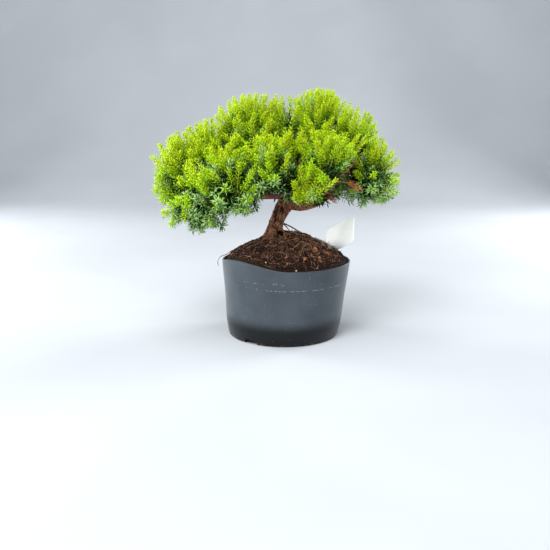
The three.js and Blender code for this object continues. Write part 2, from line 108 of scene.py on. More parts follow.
# Each mass of foliage: its centre and radii, how strongly its shoots turn up, and how much sun it gets
MASSES = [
    Sizes(name="foliage_" + name, centre=np.array(centre, float), radii=np.array(radii, float), lift=lift,
          sun=sun, seed=101 + index)
    for index, (name, centre, radii, lift, sun) in enumerate((
        ("left_end", (-124, 0, 204), (43, 46, 46), 0.9, 0.36),
        ("left_low", (-108, -18, 166), (47, 42, 34), -0.3, 0),
        ("left_shoulder", (-92, 8, 226), (42, 48, 40), 1.4, 0.1),
        ("top_left", (-42, 4, 254), (46, 50, 45), 1.5, 0.1),
        ("top_middle", (4, 10, 256), (36, 48, 39), 1.5, 0.1),
        ("top_right", (42, 4, 260), (37, 48, 45), 1.5, 0.1),
        ("right_shoulder", (78, 4, 238), (42, 48, 47), 1.3, 0),
        ("right_end", (104, -4, 203), (41, 45, 39), 0.4, 0.06),
        ("front_left", (-66, -52, 198), (52, 48, 42), 1.2, 0.05),
        ("front_middle", (-10, -60, 212), (46, 46, 42), 1.4, 0),
        ("front_right", (46, -54, 216), (48, 46, 42), 1.3, 0),
        ("back_left", (-52, 58, 212), (58, 52, 46), 1.2, 0),
        ("back_right", (36, 60, 214), (60, 52, 46), 1.2, 0),
        ("front_low", (38, -42, 186), (40, 34, 20), 0.8, 0.1),
    ))
]
MASS_NAMED = {mass.name: mass for mass in MASSES}
FOLIAGE_NODES = list(MASS_NAMED)
OPEN_SPACES = [  # stay bare: left of the fork, under the right bough, and the sky among the low left sprays
    Sizes(centre=np.array(centre, float), radii=np.array(radii, float))
    for centre, radii in (
        ((-12, -95, 168), (23, 82, 24)),
        ((30, -48, 161), (26, 48, 13)),
        ((-122, -18, 148), (8, 80, 4)),
        ((-92, -18, 131), (6, 80, 9)),
        ((-58, -30, 154), (8, 80, 10)),
        ((-98, -18, 165), (5, 80, 5)),
        ((-66, -18, 132), (20, 80, 10)),
        ((-108, -18, 114), (70, 80, 14)),
    )
]
POCKETS = (  # dark gaps between the sprays on the crown's front: centre and radius
    ((14, -85, 236), 13), ((-4, -32, 262), 12), ((30, -92, 231), 9), ((15, -95, 211), 11),
    ((-46, -90, 214), 10), ((48, -94, 231), 9), ((55, -33, 279), 10), ((-78, -96, 193), 11),
    ((-71, -94, 214), 10), ((103, -43, 217), 10),
)
MERGING = 6.0  # the lower, the more the crown fills the grooves between its masses
MASS_ENTRY = 0.8  # share of a mass's radius at which its bough ends and its stem begins

BOUGHS = [
    Sizes(name="bough_" + name, mass=MASS_NAMED["foliage_" + mass], start=start, end=end, path=path)
    for name, mass, start, end, path in (
        ("leader", "top_right", 5, 2.2, ((5, 0, 171), (10, 1, 184), (18, 2, 203), (21, 3, 220))),
        ("left", "left_end", 3.8, 2,
         ((5, -4, 164), (2, -6, 171), (-7, -7, 175), (-24, -5, 175), (-52, -2, 180))),
        ("right", "right_end", 5.2, 2.2,
         ((3, 0, 164), (13, -2, 162.5), (25, -3, 162), (36, -4, 165), (54, -4, 175))),
        ("left_low", "left_low", 2.4, 1.6, ((-36, -3, 177), (-48, -7, 174))),
        ("left_shoulder", "left_shoulder", 2.5, 1.6, ((-40, -3, 178), (-50, 2, 188), (-64, 4, 201))),
        ("top_left", "top_left", 3, 1.8, ((14, 2, 194), (4, 3, 206), (-10, 3, 219))),
        ("top_middle", "top_middle", 2.6, 1.7, ((19, 3, 208), (13, 7, 219))),
        ("right_shoulder", "right_shoulder", 3, 1.7, ((24, -3, 162), (38, 1, 176), (54, 3, 197))),
        ("front_left", "front_left", 2.6, 1.7, ((-12, -7, 175), (-22, -16, 180))),
        ("front_middle", "front_middle", 2.6, 1.6, ((6, -1, 176), (4, -14, 184))),
        ("front_right", "front_right", 2.8, 1.7, ((10, 1, 185), (19, -10, 191))),
        ("back_left", "back_left", 2.8, 1.7, ((-2, -6, 173), (-8, 8, 181), (-24, 24, 190))),
        ("back_right", "back_right", 3, 1.8, ((11, 1, 187), (15, 14, 193))),
        ("front_low", "front_low", 2.2, 1.4, ((18, -3, 162), (24, -11, 167))),
    )
]

# Growth of the foliage: twigs by the solids' rule, each carried on to a spray of plumes
EVEN_STEPS = Sizes(up=0.7548777, round=0.5698403)
TWIGS = Sizes(tried=520, reaches=(1, 0.87, 0.75, 0.62, 0.5), leave=0.3, spacing=28, top_spacing=18.5,
              top_facing=(0.2, 0.7), hanging_spacing=18, hanging_facing=-0.35, overlap=0.24, foot_radius=1.1)
ENDS = Sizes(distance=110, facing=(0.35, 0.85), sun=0.42)  # the crown's left and right ends get sun as well
# Uneven depth of the crown's surface, but for its top, and the shade there
HOLLOWS = Sizes(size=27, from_noise=(0, -0.4), depth=0.34, shade=0.4, full_shade=0.24, none_facing=(0.3, 0.7))
SPRAY = Sizes(length=47, plumes=7, fan=48, tilt=9, branchlets=0, inner=11)
HANGING_SPRAY = Sizes(length=29, plumes=4, fan=48, tilt=24, branchlets=1, inner=5)
BRANCHLET = Sizes(length=(8, 12), along=(0.45, 0.8), outward=0.75)
INNER = Sizes(lean=62, length=18)  # older shoots further back on each twig
SHOOT = Sizes(needles=3, stem_radius=0.6, reach=1.02, uneven=0.08, bump=16, up_turn=0.3, droop=-0.1,
              lengths=(1.2, 1.12, 1.05, 0.98, 0.91, 0.84, 0.77, 0.7, 0.62, 0.55))
# Needles on each kind of shoot: their whorls, how they crowd to its tip, their length and width, and how far
# they stand off at its foot and its tip
NEEDLES = {
    "plume": Sizes(whorls=18, crowding=0.85, length=6.9, width=1.9, open=60, closed=36, seed=31),
    "star": Sizes(whorls=7, crowding=0.75, length=8.3, width=1.9, open=72, closed=46, seed=33),
    "inner": Sizes(whorls=6, crowding=1, length=7.2, width=1.8, open=62, closed=42, seed=34),
}
NEEDLE = Sizes(thickness=0.5, widest=0.4)
SPRIGS = [  # sprays that grow straight from the boughs by the fork: foot, base, heading, length, sun, hanging
    Sizes(foot=np.array(foot, float), base=np.array(base, float), heading=np.array(heading, float),
          length=length, sun=sun, hanging=hanging)
    for foot, base, heading, length, sun, hanging in (
        ((24, -11, 167), (22, -80, 177), (0.9, -0.1, 0.42), 40, 0.75, False),
        ((24, -11, 167), (20, -78, 178), (0.22, -0.1, 0.95), 32, 0.65, False),
        ((24, -11, 167), (18, -78, 176), (-0.5, -0.5, 0.1), 16, 0.6, False),
        ((36, -4, 165), (46, -6, 168), (0.1, -0.4, -0.3), 11, -0.2, True),
        ((54, -4, 175), (58, -8, 177), (0.5, -0.5, 0), 24, -0.2, True),
        ((50, -4, 173), (54, 6, 176), (0.3, 0.6, 0.1), 26, -0.2, True),
        ((54, -4, 175), (62, 0, 179), (0.7, 0.1, -0.1), 26, -0.2, True),
    )
]
DEAD = Sizes(radii=(0.95, 0.45), bare_steps=5, twiglets=2, twiglet_length=(3, 6), twiglet_radii=(0.42, 0.2),
             sag=1, needle_length=(2.5, 4.5), needle_width=1.1, needle_thickness=0.4)
DEAD_TWIGS = (
    ((50, -8, 177), (54, -30, 190), (60, -47, 199), (70, -49, 209), (79, -48, 218)),
    ((60, -47, 199), (70, -50, 198), (79, -50, 196), (86, -49, 192)),
    ((52, -18, 182), (50, -38, 183), (53, -46, 180), (57, -46, 177)),
)

# Light on the needles, which picks their colour: it grows with height, and falls inside the crown, on the
# inner side of a shoot, at its foot and on the older shoots
SUN = Sizes(least=0.46, by_height=0.5, heights=(172, 248), in_mass=0.16)
DEPTH = Sizes(shade=0.34, reach=(0.82, 0.48), side=0.2)
PLUME_LIGHT = Sizes(foot=-0.34, tip=0.2)
BRANCHLET_LIGHT = Sizes(least=-0.3, along=0.5, foot=-0.1, tip=0.12)
INNER_LIGHT = Sizes(least=-0.5, foot=-0.1, tip=0.1)
UNEVEN_LIGHT = Sizes(spray=0.09, darkest_spray=0.45, shoot=0.09, inner=0.06, needle=0.07)
# Shaded shoots are blue-green, with needles that are longer and stand off more
SHADED = Sizes(light=(0.92, 0.58), needles_below=0.74, uneven=0.6, lean=6, longer=0.15)
LEAST_LIGHT = (("mid_green", 0.34), ("leaf_green", 0.52), ("lime", 0.7), ("fresh_tip", 1.0))
LEAST_LIGHT_SHADED = (("blue_deep", 0.3), ("blue_green", 0.58), ("pale_green", 0.92))
NEEDLE_COLOURS = {  # sRGB
    "fresh_tip": "#b8d51b",
    "lime": "#a9d414",
    "leaf_green": "#95c41f",
    "mid_green": "#5f8e24",
    "deep_green": "#1b300d",
    "pale_green": "#add085",
    "blue_green": "#9ac66b",
    "blue_deep": "#5a8748",
}

# Helpers


def linear(colour):
    """An sRGB hex colour as linear RGBA."""
    shares = [int(colour[i:i + 2], 16) / 255 for i in (1, 3, 5)]
    return [c / 12.92 if c <= 0.04045 else ((c + 0.055) / 1.055) ** 2.4 for c in shares] + [1.0]


def add_node(tree, kind, inputs=None, output=0, stops=None, **settings):
    """Adds a node with its settings and gives one of its outputs; inputs are values or the sockets to link
    from, and stops a ramp's colours."""
    node = tree.nodes.new(kind)
    for key, value in settings.items():
        setattr(node, key, value)
    for key, value in (inputs or {}).items():
        if isinstance(value, bpy.types.NodeSocket):
            tree.links.new(value, node.inputs[key])
        else:
            node.inputs[key].default_value = value
    if stops:
        elements = node.color_ramp.elements
        while len(elements) < len(stops):
            elements.new(1.0)
        for element, (place, colour) in zip(elements, stops):
            element.position = place
            element.color = linear(colour)
    return node.outputs[output]


def new_material(name, roughness, colour=None, specular=0.5):
    """A material with its node tree and its shader; a plain colour goes on the shader's own socket."""
    material = bpy.data.materials.new(name)
    material.use_nodes = True
    tree = material.node_tree
    shader = tree.nodes["Principled BSDF"]
    shader.inputs["Roughness"].default_value = roughness
    shader.inputs["Specular IOR Level"].default_value = specular
    if colour:
        shader.inputs["Base Color"].default_value = linear(colour)
        material.diffuse_color = linear(colour)
    return material, tree, shader


def unit(vectors):
    return vectors / np.maximum(np.linalg.norm(vectors, axis=-1, keepdims=True), 1e-9)


def smooth_step(value, low, high):
    share = np.clip((value - low) / (high - low), 0, 1)
    return share * share * (3 - 2 * share)


def add_object(name, mesh, material):
    piece = bpy.data.objects.new(name, mesh)
    bpy.context.scene.collection.objects.link(piece)
    mesh.materials.clear()
    mesh.materials.append(material)
    return piece


def dress(piece, nodes):
    """Rides a finished piece on the part's root body, in place of its solids."""
    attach(piece, "root")
    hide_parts(*nodes)
    return piece


def mesh_from_bmesh(name, bm, sharp_degrees=None):
    """A bmesh in millimetres as a smooth mesh in metres."""
    bmesh.ops.scale(bm, vec=(MM, MM, MM), verts=bm.verts)
    mesh = bpy.data.meshes.new(name)
    bm.to_mesh(mesh)
    bm.free()
    mesh.shade_smooth()
    if sharp_degrees:
        mesh.set_sharp_from_angle(angle=math.radians(sharp_degrees))
    return mesh


def mesh_from_arrays(name, places, faces):
    """Places in millimetres and triangles as a mesh in metres."""
    mesh = bpy.data.meshes.new(name)
    mesh.vertices.add(len(places))
    mesh.vertices.foreach_set("co", (places * MM).astype(np.float32).ravel())
    mesh.loops.add(faces.size)
    mesh.loops.foreach_set("vertex_index", faces.astype(np.int32).ravel())
    mesh.polygons.add(len(faces))
    mesh.polygons.foreach_set("loop_start", np.arange(len(faces), dtype=np.int32) * faces.shape[1])
    mesh.update(calc_edges=True)
    return mesh


def add_joined(name, places, faces, material, nodes, smooth=False):
    """Many small things of one kind, (things, places, 3), joined into as few pieces as the limit allows."""
    things, per_thing = places.shape[:2]
    most = max(1, MOST_TRIANGLES // len(faces))
    for number, first in enumerate(range(0, things, most), 1):
        part = places[first:first + most]
        offsets = np.arange(len(part)) * per_thing
        triangles = (faces[None] + offsets[:, None, None]).reshape(-1, 3)
        mesh = mesh_from_arrays(f"{name}_{number}", part.reshape(-1, 3), triangles)
        if smooth:
            mesh.shade_smooth()
        dress(add_object(f"{name}_{number}", mesh, material), nodes)


def tube_faces(steps, sides):
    """Triangles of a closed tube of steps rings, as add_joined takes them."""
    faces = []
    for step in range(steps - 1):
        for side in range(sides):
            a, b = step * sides + side, step * sides + (side + 1) % sides
            faces += [(a, b, b + sides), (a, b + sides, a + sides)]
    last = (steps - 1) * sides
    for side in range(1, sides - 1):
        faces += [(0, side + 1, side), (last, last + side, last + side + 1)]
    return np.array(faces)


def tube_places(paths, radii, sides):
    """Rings round paths (tubes, steps, 3) with radii (tubes, steps)."""
    tangents = unit(np.gradient(paths, axis=1))
    helper = np.where(np.abs(tangents[:, :1, 2:]) < 0.8, [[[0, 0, 1.0]]], [[[1.0, 0, 0]]])
    across = unit(np.cross(tangents, helper))
    beside = np.cross(tangents, across)
    angles = np.arange(sides) / sides * FULL_TURN
    ring = across[:, :, None] * np.cos(angles)[:, None] + beside[:, :, None] * np.sin(angles)[:, None]
    rings = paths[:, :, None] + ring * radii[:, :, None, None]
    return rings.reshape(len(paths), -1, 3)


def curve_through(path, steps):
    """Places evenly spaced along a centripetal Catmull-Rom curve, its tangents and the lengths run."""
    path = np.asarray(path, float)
    knots = np.vstack((2 * path[0] - path[1], path, 2 * path[-1] - path[-2]))
    share = np.linspace(0, 1, 24)[:, None]
    fine = []
    for before, start, end, after in zip(knots, knots[1:], knots[2:], knots[3:]):
        g0, g1, g2 = (np.linalg.norm(gap) ** 0.5 for gap in (start - before, end - start, after - end))
        leave = ((start - before) / g0 - (end - before) / (g0 + g1) + (end - start) / g1) * g1
        arrive = ((end - start) / g1 - (after - start) / (g1 + g2) + (after - end) / g2) * g1
        fine.append((2 * share**3 - 3 * share**2 + 1) * start + (share**3 - 2 * share**2 + share) * leave
                    + (3 * share**2 - 2 * share**3) * end + (share**3 - share**2) * arrive)
    fine = np.vstack(fine)
    run = np.concatenate(([0], np.cumsum(np.linalg.norm(np.diff(fine, axis=0), axis=1))))
    lengths = np.linspace(0, run[-1], steps + 1)
    points = np.stack([np.interp(lengths, run, fine[:, axis]) for axis in range(3)], axis=1)
    return points, unit(np.gradient(points, axis=0)), lengths


def frames_along(tangents):
    """Two directions across each tangent, turned as little as possible from one to the next."""
    helper = np.eye(3)[np.argmin(np.abs(tangents[0]))]
    across = [unit(np.cross(tangents[0], np.cross(tangents[0], helper)))]
    for tangent in tangents[1:]:
        across.append(unit(across[-1] - tangent * (across[-1] @ tangent)))
    across = np.array(across)
    return across, np.cross(tangents, across)


def spun(profile, steps):
    """A profile of (radius, height) that starts and ends on the axis, turned about +Z into a closed bmesh."""
    bm = bmesh.new()
    verts = [bm.verts.new((radius, 0, height)) for radius, height in profile]
    edges = [bm.edges.new(pair) for pair in zip(verts, verts[1:])]
    bmesh.ops.spin(bm, geom=verts + edges, cent=(0, 0, 0), axis=(0, 0, 1), angle=FULL_TURN, steps=steps,
                   use_merge=True)
    bmesh.ops.remove_doubles(bm, verts=bm.verts, dist=1e-4)
    bmesh.ops.recalc_face_normals(bm, faces=bm.faces)
    return bm


def applied(piece):
    """The mesh of an object with its modifiers applied."""
    graph = bpy.context.evaluated_depsgraph_get()
    return bpy.data.meshes.new_from_object(piece.evaluated_get(graph))


# Pot


def rim_rise(x, y):
    """How much higher the cut rim is at this side of the pot."""
    offset = (np.degrees(np.arctan2(-x, -y)) - RIM.rise_centre) / RIM.rise_half_width
    return np.where(np.abs(offset) < 1, RIM.rise * np.cos(offset * math.pi / 2) ** 2, 0)


FOOT_TOP = POT.base_radius + 2.5
WALL_FROM = Sizes(radius=FOOT_TOP + POT.foot_tuck, height=POT.foot_height + 4)
WALL_SLOPE = (POT.rim_radius - WALL_FROM.radius) / (POT.height - WALL_FROM.height)


def leaning(place):
    """How far the leaning pot stands over to the right at this height."""
    return POT.lean * min(place.z / POT.height, 1)


def squeeze_rim(place):
    """The rim flares at its left and right ends and climbs at the front left."""
    share = float(smooth_step(place.z, RIM.flare_from, POT.height))
    radius = math.hypot(place.x, place.y)
    lean = leaning(place)
    if share > 0 and radius > 0:
        ear = RIM.ear * abs(place.x / radius) ** RIM.ear_sharpness
        rise = float(rim_rise(place.x, place.y)) * share
        stretch = 1 + (ear * share + rise * WALL_SLOPE) / radius
        place.x *= stretch
        place.y *= stretch
        place.z += rise
    place.x += lean


def make_pot(material):
    row_height, steps, soft_edge, unevenness = 3, 160, 0.35, 0.3
    rows = np.arange(WALL_FROM.height, POT.height - 1, row_height)
    wall = [(WALL_FROM.radius + WALL_SLOPE * (z - WALL_FROM.height), z) for z in rows]
    foot = [(0, 0), (POT.base_radius - 3, 0), (POT.base_radius - 0.8, 0.8), (POT.base_radius, 3),
            (FOOT_TOP, POT.foot_height - 3), (FOOT_TOP + 0.3, POT.foot_height - 1.5),
            (FOOT_TOP + POT.foot_tuck * 0.5, POT.foot_height + 0.5),
            (FOOT_TOP + POT.foot_tuck * 0.85, POT.foot_height + 2.2)]
    inner_radius = POT.rim_radius - POT.wall
    rim = [(POT.rim_radius - 0.03, POT.height - soft_edge), (POT.rim_radius - soft_edge, POT.height),
           (inner_radius + soft_edge, POT.height), (inner_radius, POT.height - soft_edge)]
    inside = [(radius - POT.wall, z) for radius, z in reversed(wall)]
    floor = [(POT.base_radius - POT.wall - 1, POT.floor + 1), (POT.base_radius - POT.wall - 3, POT.floor),
             (0, POT.floor)]
    bm = spun(foot + wall + rim + inside + floor, steps)
    for vert in bm.verts:
        if vert.co.z > POT.height - 1:  # the cut was made by hand
            vert.co.z += unevenness * noise.noise(vert.co / 9)
        squeeze_rim(vert.co)
    mesh = mesh_from_bmesh("pot", bm)
    cut = bmesh.new()
    for index in range(NOTCH.count):
        angle = math.radians(NOTCH.first + index * 360 / NOTCH.count)
        box = bmesh.ops.create_cube(cut, size=1)["verts"]
        bmesh.ops.scale(cut, vec=(NOTCH.width, NOTCH.depth * 2, NOTCH.height * 2), verts=box)
        bmesh.ops.translate(cut, vec=(0, -POT.base_radius - 2, 0), verts=box)
        bmesh.ops.rotate(cut, matrix=Matrix.Rotation(-angle, 3, "Z"), verts=box)
    bmesh.ops.bevel(cut, geom=cut.edges[:], offset=2, segments=3, profile=0.5, affect="EDGES", material=-1)
    cutter = add_object("notch_cutter", mesh_from_bmesh("notch_cutter", cut), material)
    whole = add_object("pot_uncut", mesh, material)
    whole.modifiers.new("notches", "BOOLEAN").object = cutter
    notched = applied(whole)
    for spare in (cutter, whole):
        bpy.data.objects.remove(spare)
    notched.name = "pot_shell"
    notched.set_sharp_from_angle(angle=math.radians(40))
    dress(add_object("pot_shell", notched, material), ["pot"])


# Soil


def heap_height(x, y):
    """The height of the soil's heap, which meets the pot's rim all round."""
    x = x - POT.lean * np.minimum(np.hypot(x, y) / SOIL.edge_radius, 1)
    outward = (np.hypot(x, y) - SOIL.plateau_radius) / (SOIL.edge_radius - SOIL.plateau_radius)
    edge = POT.height - SOIL.edge_drop
    heap = edge + (SOIL.ground - edge) * np.interp(outward, HEAP_OUTWARD, HEAP_UP)
    from_mat = ((x - ROOT_MAT.centre[0]) ** 2 + (y - ROOT_MAT.centre[1]) ** 2) / ROOT_MAT.radius**2
    return heap + rim_rise(x, y) * np.clip(outward, 0, 1) ** 2 + ROOT_MAT.height * np.exp(-from_mat)


def make_soil(material):
    steps, rings = 320, 64
    lumps = ((7, 1.1), (3, 1.0), (1.5, 0.5))  # size and height of the crumbly surface
    radii = np.linspace(SOIL.edge_radius, 0, rings)
    below = [(0, SOIL.bottom), (SOIL.bottom_radius, SOIL.bottom), SOIL.foot, SOIL.side]
    bm = spun(below + [(radius, POT.height) for radius in radii], steps)
    for vert in bm.verts:
        radius = math.hypot(vert.co.x, vert.co.y)
        on_top = vert.co.z > POT.height - 1
        vert.co.x += leaning(vert.co) * min(radius / SOIL.edge_radius, 1)
        if on_top:
            edge_share = float(smooth_step(radius, SOIL.edge_radius - 4, SOIL.edge_radius))
            level = Vector((vert.co.x, vert.co.y, 0))
            bump = sum(height * noise.noise(level / size) for size, height in lumps)
            vert.co.z = float(heap_height(vert.co.x, vert.co.y)) + bump * (1 - 0.6 * edge_share)
    dress(add_object("soil_heap", mesh_from_bmesh("soil_heap", bm), material), ["soil"])


def ball():
    """A small ball of 20 triangles."""
    bm = bmesh.new()
    bmesh.ops.create_icosphere(bm, subdivisions=1, radius=1)
    places = np.array([vert.co[:] for vert in bm.verts])
    faces = np.array([[vert.index for vert in face.verts] for face in bm.faces])
    bm.free()
    return places, faces


def random_turns(random, count):
    """Random turning matrices."""
    axes = [random.normal(size=(count, 3)) for _ in range(2)]
    first = unit(axes[0])
    second = unit(np.cross(first, axes[1]))
    return np.stack((first, second, np.cross(first, second)), axis=2)


def scatter_crumbs(name, material, count, sizes, flatness, seed, seen=()):
    """Crumbs of one kind, lying in the surface of the heap; the ones seen have their own place and size."""
    random = np.random.default_rng(seed)
    nearest, furthest, mostly_small, proud = 8, 74, 2.5, 0.3
    shape, faces = ball()
    angle = random.uniform(0, FULL_TURN, count)
    radius = np.sqrt(random.uniform(nearest**2, furthest**2, count))
    size = sizes[0] + (sizes[1] - sizes[0]) * random.random(count) ** mostly_small
    x, y = radius * np.cos(angle) + POT.lean * radius / SOIL.edge_radius, radius * np.sin(angle)
    for number, (seen_x, seen_y, seen_size) in enumerate(seen):
        x[number], y[number], size[number] = seen_x, seen_y, seen_size
    centre = np.stack((x, y, heap_height(x, y) + proud * size), axis=1)
    stretch = random.uniform(0.6, 1.2, (count, 1, 3)) * np.array([1, 1, flatness])
    knobs = random.uniform(0.75, 1.2, (count, len(shape), 1))
    turned = np.einsum("nij,nkj->nki", random_turns(random, count), shape[None] * stretch * knobs)
    add_joined(name, centre[:, None] + turned * size[:, None, None], faces, material, ["soil"])


def scatter_threads(name, material, count, lengths, radius, reach, above, centre, seed):
    """Fine roots that wander over the heap from round a centre, partly sunk in it."""
    random = np.random.default_rng(seed)
    steps, sides = 10, 4
    spread, bend, waver = 0.9, 0.12, 0.3  # of their headings, in radians
    angle = random.uniform(0, FULL_TURN, count)
    distance = np.sqrt(random.uniform(reach[0] ** 2, reach[1] ** 2, count))
    place = np.stack((distance * np.cos(angle), distance * np.sin(angle)), axis=1) + centre
    heading = angle + random.normal(0, spread, count)
    stride = random.uniform(*lengths, count) / (steps - 1)
    path, turn = [], random.normal(0, bend, count)
    for _ in range(steps):
        path.append(place)
        heading = heading + turn + random.normal(0, waver, count)
        place = place + stride[:, None] * np.stack((np.cos(heading), np.sin(heading)), axis=1)
    path = np.stack(path, axis=1)
    path[..., 0] += POT.lean * np.linalg.norm(path, axis=2) / SOIL.edge_radius
    inside = np.linalg.norm(path - [POT.lean, 0], axis=2).max(axis=1) < SOIL.edge_radius - 1.5
    path = path[inside]
    height = heap_height(path[..., 0], path[..., 1]) + random.uniform(*above, path.shape[:2])
    places = np.concatenate((path, height[..., None]), axis=2)
    taper = np.linspace(1, 0.4, steps) * random.uniform(0.6, 1.3, (len(path), 1)) * radius
    tubes = tube_places(places, taper, sides)
    add_joined(name, tubes, tube_faces(steps, sides), material, ["soil"], True)


# Trunk and boughs


def trunk_radius(share, angle):
    """The trunk's radius, as on the solid: buttressed at its foot, fluted, and swollen below its fork."""
    buttress = 1 + 0.3 * math.cos(3 * angle + 0.6) + 0.15 * math.cos(5 * angle)
    flare = TRUNK.flare * math.exp(-share / TRUNK.flare_fade) * buttress
    flutes = 0.35 * math.cos(4 * angle + 5 * share)
    fork = TRUNK.fork_swell * math.exp(-(((share - 0.82) / 0.12) ** 2))
    shoulder = 1 - 0.28 * float(smooth_step(share, 0.93, 1))
    return (TRUNK.radius + flutes + fork) * shoulder + flare


def tapering(start, end):
    return lambda share, angle: start + (end - start) * share


def reach_in(mass, places):
    """How far out places are in a mass: 0 at the centre and 1 at the outside."""
    return np.linalg.norm((places - mass.centre) / mass.radii, axis=-1)


def bough_tip(bough):
    last = np.array(bough.path[-1], float)
    return bough.mass.centre + (last - bough.mass.centre) * MASS_ENTRY / reach_in(bough.mass, last)


def add_limb(bm, limb):
    """A tapering tube round a limb's path, closed at both ends."""
    sides, steps = limb.sides, limb.steps
    points, tangents, _ = curve_through(limb.path, steps)
    across, beside = frames_along(tangents)
    verts = bmesh.ops.create_grid(bm, x_segments=sides, y_segments=steps, size=0.5)["verts"]
    for vert in verts:
        step = round((vert.co.y + 0.5) * steps)
        angle = (vert.co.x + 0.5) * FULL_TURN
        radius = limb.radius_at(step / steps, angle)
        vert.co = points[step] + radius * (across[step] * math.cos(angle) - beside[step] * math.sin(angle))
    bmesh.ops.remove_doubles(bm, verts=verts, dist=1e-4)
    bmesh.ops.holes_fill(bm, edges=[edge for edge in bm.edges if edge.is_boundary], sides=0)


def all_limbs():
    """The trunk, its surface roots and the boughs, each with its stem up to the middle of its mass."""
    limbs = [Sizes(path=TRUNK.path, radius_at=trunk_radius, sides=72, steps=60, young=0)]
    limbs += [Sizes(path=path, radius_at=tapering(start, end), sides=20, steps=24, young=0.2)
              for path, start, end in ROOTS]
    for bough in BOUGHS:
        stem = (*bough.path, tuple(bough_tip(bough)), tuple(bough.mass.centre))
        taper = tapering(bough.start, bough.end * 0.75)
        limbs.append(Sizes(path=stem, radius_at=taper, sides=20, steps=40, young=1))
    return limbs


def bark_relief(place, sample):
    """How proud the bark is here, from 0 in a crack to 1 on a strip: cracks run along the limb."""
    strip, run = sample.strip, 5  # width of a strip in mm, and how many times longer it is
    offset = place - sample.point
    local = Vector((offset @ sample.across / strip, offset @ sample.beside / strip,
                    (sample.length + offset @ sample.tangent) / (strip * run)))
    local += sample.shift
    crack = abs(noise.noise(local)) + 0.35 * abs(noise.noise(local * 2.3))
    fibre = noise.noise(Vector((local.x * 4, local.y * 4, local.z * 1.5)))
    return float(smooth_step(crack, 0.02, 0.34)) + 0.22 * fibre


def make_bark(material, limbs):
    """The limbs grown into one mesh, with the bark's relief on it and painted shade in the hollow at the
    trunk's foot.
    """
    voxel, thickest, flake, flake_size = 0.6, 9, 0.55, 3.8
    bm = bmesh.new()
    for limb in limbs:
        add_limb(bm, limb)
    bmesh.ops.recalc_face_normals(bm, faces=bm.faces)
    mesh = bpy.data.meshes.new("limbs_apart")
    bm.to_mesh(mesh)
    bm.free()
    apart = add_object("limbs_apart", mesh, material)
    union = apart.modifiers.new("union", "REMESH")
    union.mode = "VOXEL"
    union.voxel_size = voxel
    joined = applied(apart)
    bpy.data.objects.remove(apart)

    bm = bmesh.new()
    bm.from_mesh(joined)
    for _ in range(3):
        bmesh.ops.smooth_vert(bm, verts=bm.verts, factor=0.5, use_axis_x=True, use_axis_y=True,
                              use_axis_z=True)
    samples = []
    for number, limb in enumerate(limbs):
        points, tangents, lengths = curve_through(limb.path, limb.steps)
        across, beside = frames_along(tangents)
        for step in range(limb.steps + 1):
            radius = limb.radius_at(step / limb.steps, 0)
            samples.append(Sizes(
                point=Vector(points[step]), tangent=Vector(tangents[step]), across=Vector(across[step]),
                beside=Vector(beside[step]), length=lengths[step], radius=radius, young=limb.young,
                strip=1.0 + 0.24 * radius, shift=Vector((number * 7.3, number * 3.1, number * 5.7))))
    tree = KDTree(len(samples))
    for index, sample in enumerate(samples):
        tree.insert(sample.point, index)
    tree.balance()
    bm.normal_update()
    reliefs_and_cave_shade, ages, moves = [], [], []
    for vert in bm.verts:
        sample = samples[tree.find(vert.co)[1]]
        relief = bark_relief(vert.co, sample)
        thickness = min(sample.radius, thickest)
        depth = 0.15 + 0.15 * thickness
        lift = flake * noise.noise(vert.co / flake_size) * thickness / 4
        moves.append(vert.normal * (depth * (relief - 0.75) + lift))
        reliefs_and_cave_shade.append(relief)
        ages.append(sample.young)
    for index, (vert, move) in enumerate(zip(bm.verts, moves)):
        vert.co += move
        # The hollow at the trunk's foot is pushed back, and its relief set to 0 so that the bark is painted
        # darkest there as shade
        x, z = ((vert.co[axis] - ROOT_CAVE.centre[axis]) / ROOT_CAVE.radii[axis] for axis in (0, 2))
        back = ROOT_CAVE.centre[1] + ROOT_CAVE.radii[1] * math.sqrt(max(0, 1 - x * x - z * z))
        if x * x + z * z < 1 and vert.co.y < back:
            vert.co.y = back
            reliefs_and_cave_shade[index] = 0
    mesh = mesh_from_bmesh("bark", bm)
    for name, values in (("relief", reliefs_and_cave_shade), ("young", ages)):
        attribute = mesh.attributes.new(name, "FLOAT", "POINT")
        attribute.data.foreach_set("value", np.array(values, np.float32))
    piece = add_object("trunk_and_boughs", mesh, material)
    dress(piece, ["trunk"] + [bough.name for bough in BOUGHS])


def make_rootlets(material):
    """Thin roots that leave the trunk's foot and run over the soil."""
    steps, sides = 24, 8
    places = []
    for path, radius in ROOTLETS:
        path = [(x, y, float(heap_height(x, y)) + above) for x, y, above in path]
        points = curve_through(path, steps)[0]
        wave = [0.35 * radius * noise.noise(Vector(point) / 4) for point in points]
        radii = np.linspace(1.15, 0.6, steps + 1) * radius + np.array(wave)
        places.append(tube_places(points[None], radii[None], sides))
    faces = tube_faces(steps + 1, sides)
    add_joined("surface_roots", np.concatenate(places), faces, material, ["trunk"], True)


# Foliage


def own_reach(mass, places):
    """How far out places are in a mass, or 2 where another mass is nearer by more than the overlap."""
    reach = reach_in(mass, places)
    nearest = np.min([reach_in(other, places) for other in MASSES if other is not mass], axis=0)
    return np.where(nearest > reach - TWIGS.overlap, reach, 2)


def even_directions(count):
    """Directions spread evenly over a ball, as on the solids."""
    steps = np.arange(count)
    height = 1 - 2 * ((steps * EVEN_STEPS.up) % 1)
    turn = FULL_TURN * ((steps * EVEN_STEPS.round) % 1)
    ring = np.sqrt(1 - height**2)
    return np.stack((ring * np.cos(turn), ring * np.sin(turn), height), axis=1)


def crown_reach(places):
    """How far out places are in the crown, whose masses run together where they meet."""
    reaches = np.maximum([reach_in(mass, places) for mass in MASSES], 1e-3)
    return (reaches**-MERGING).sum(axis=0) ** (-1 / MERGING)


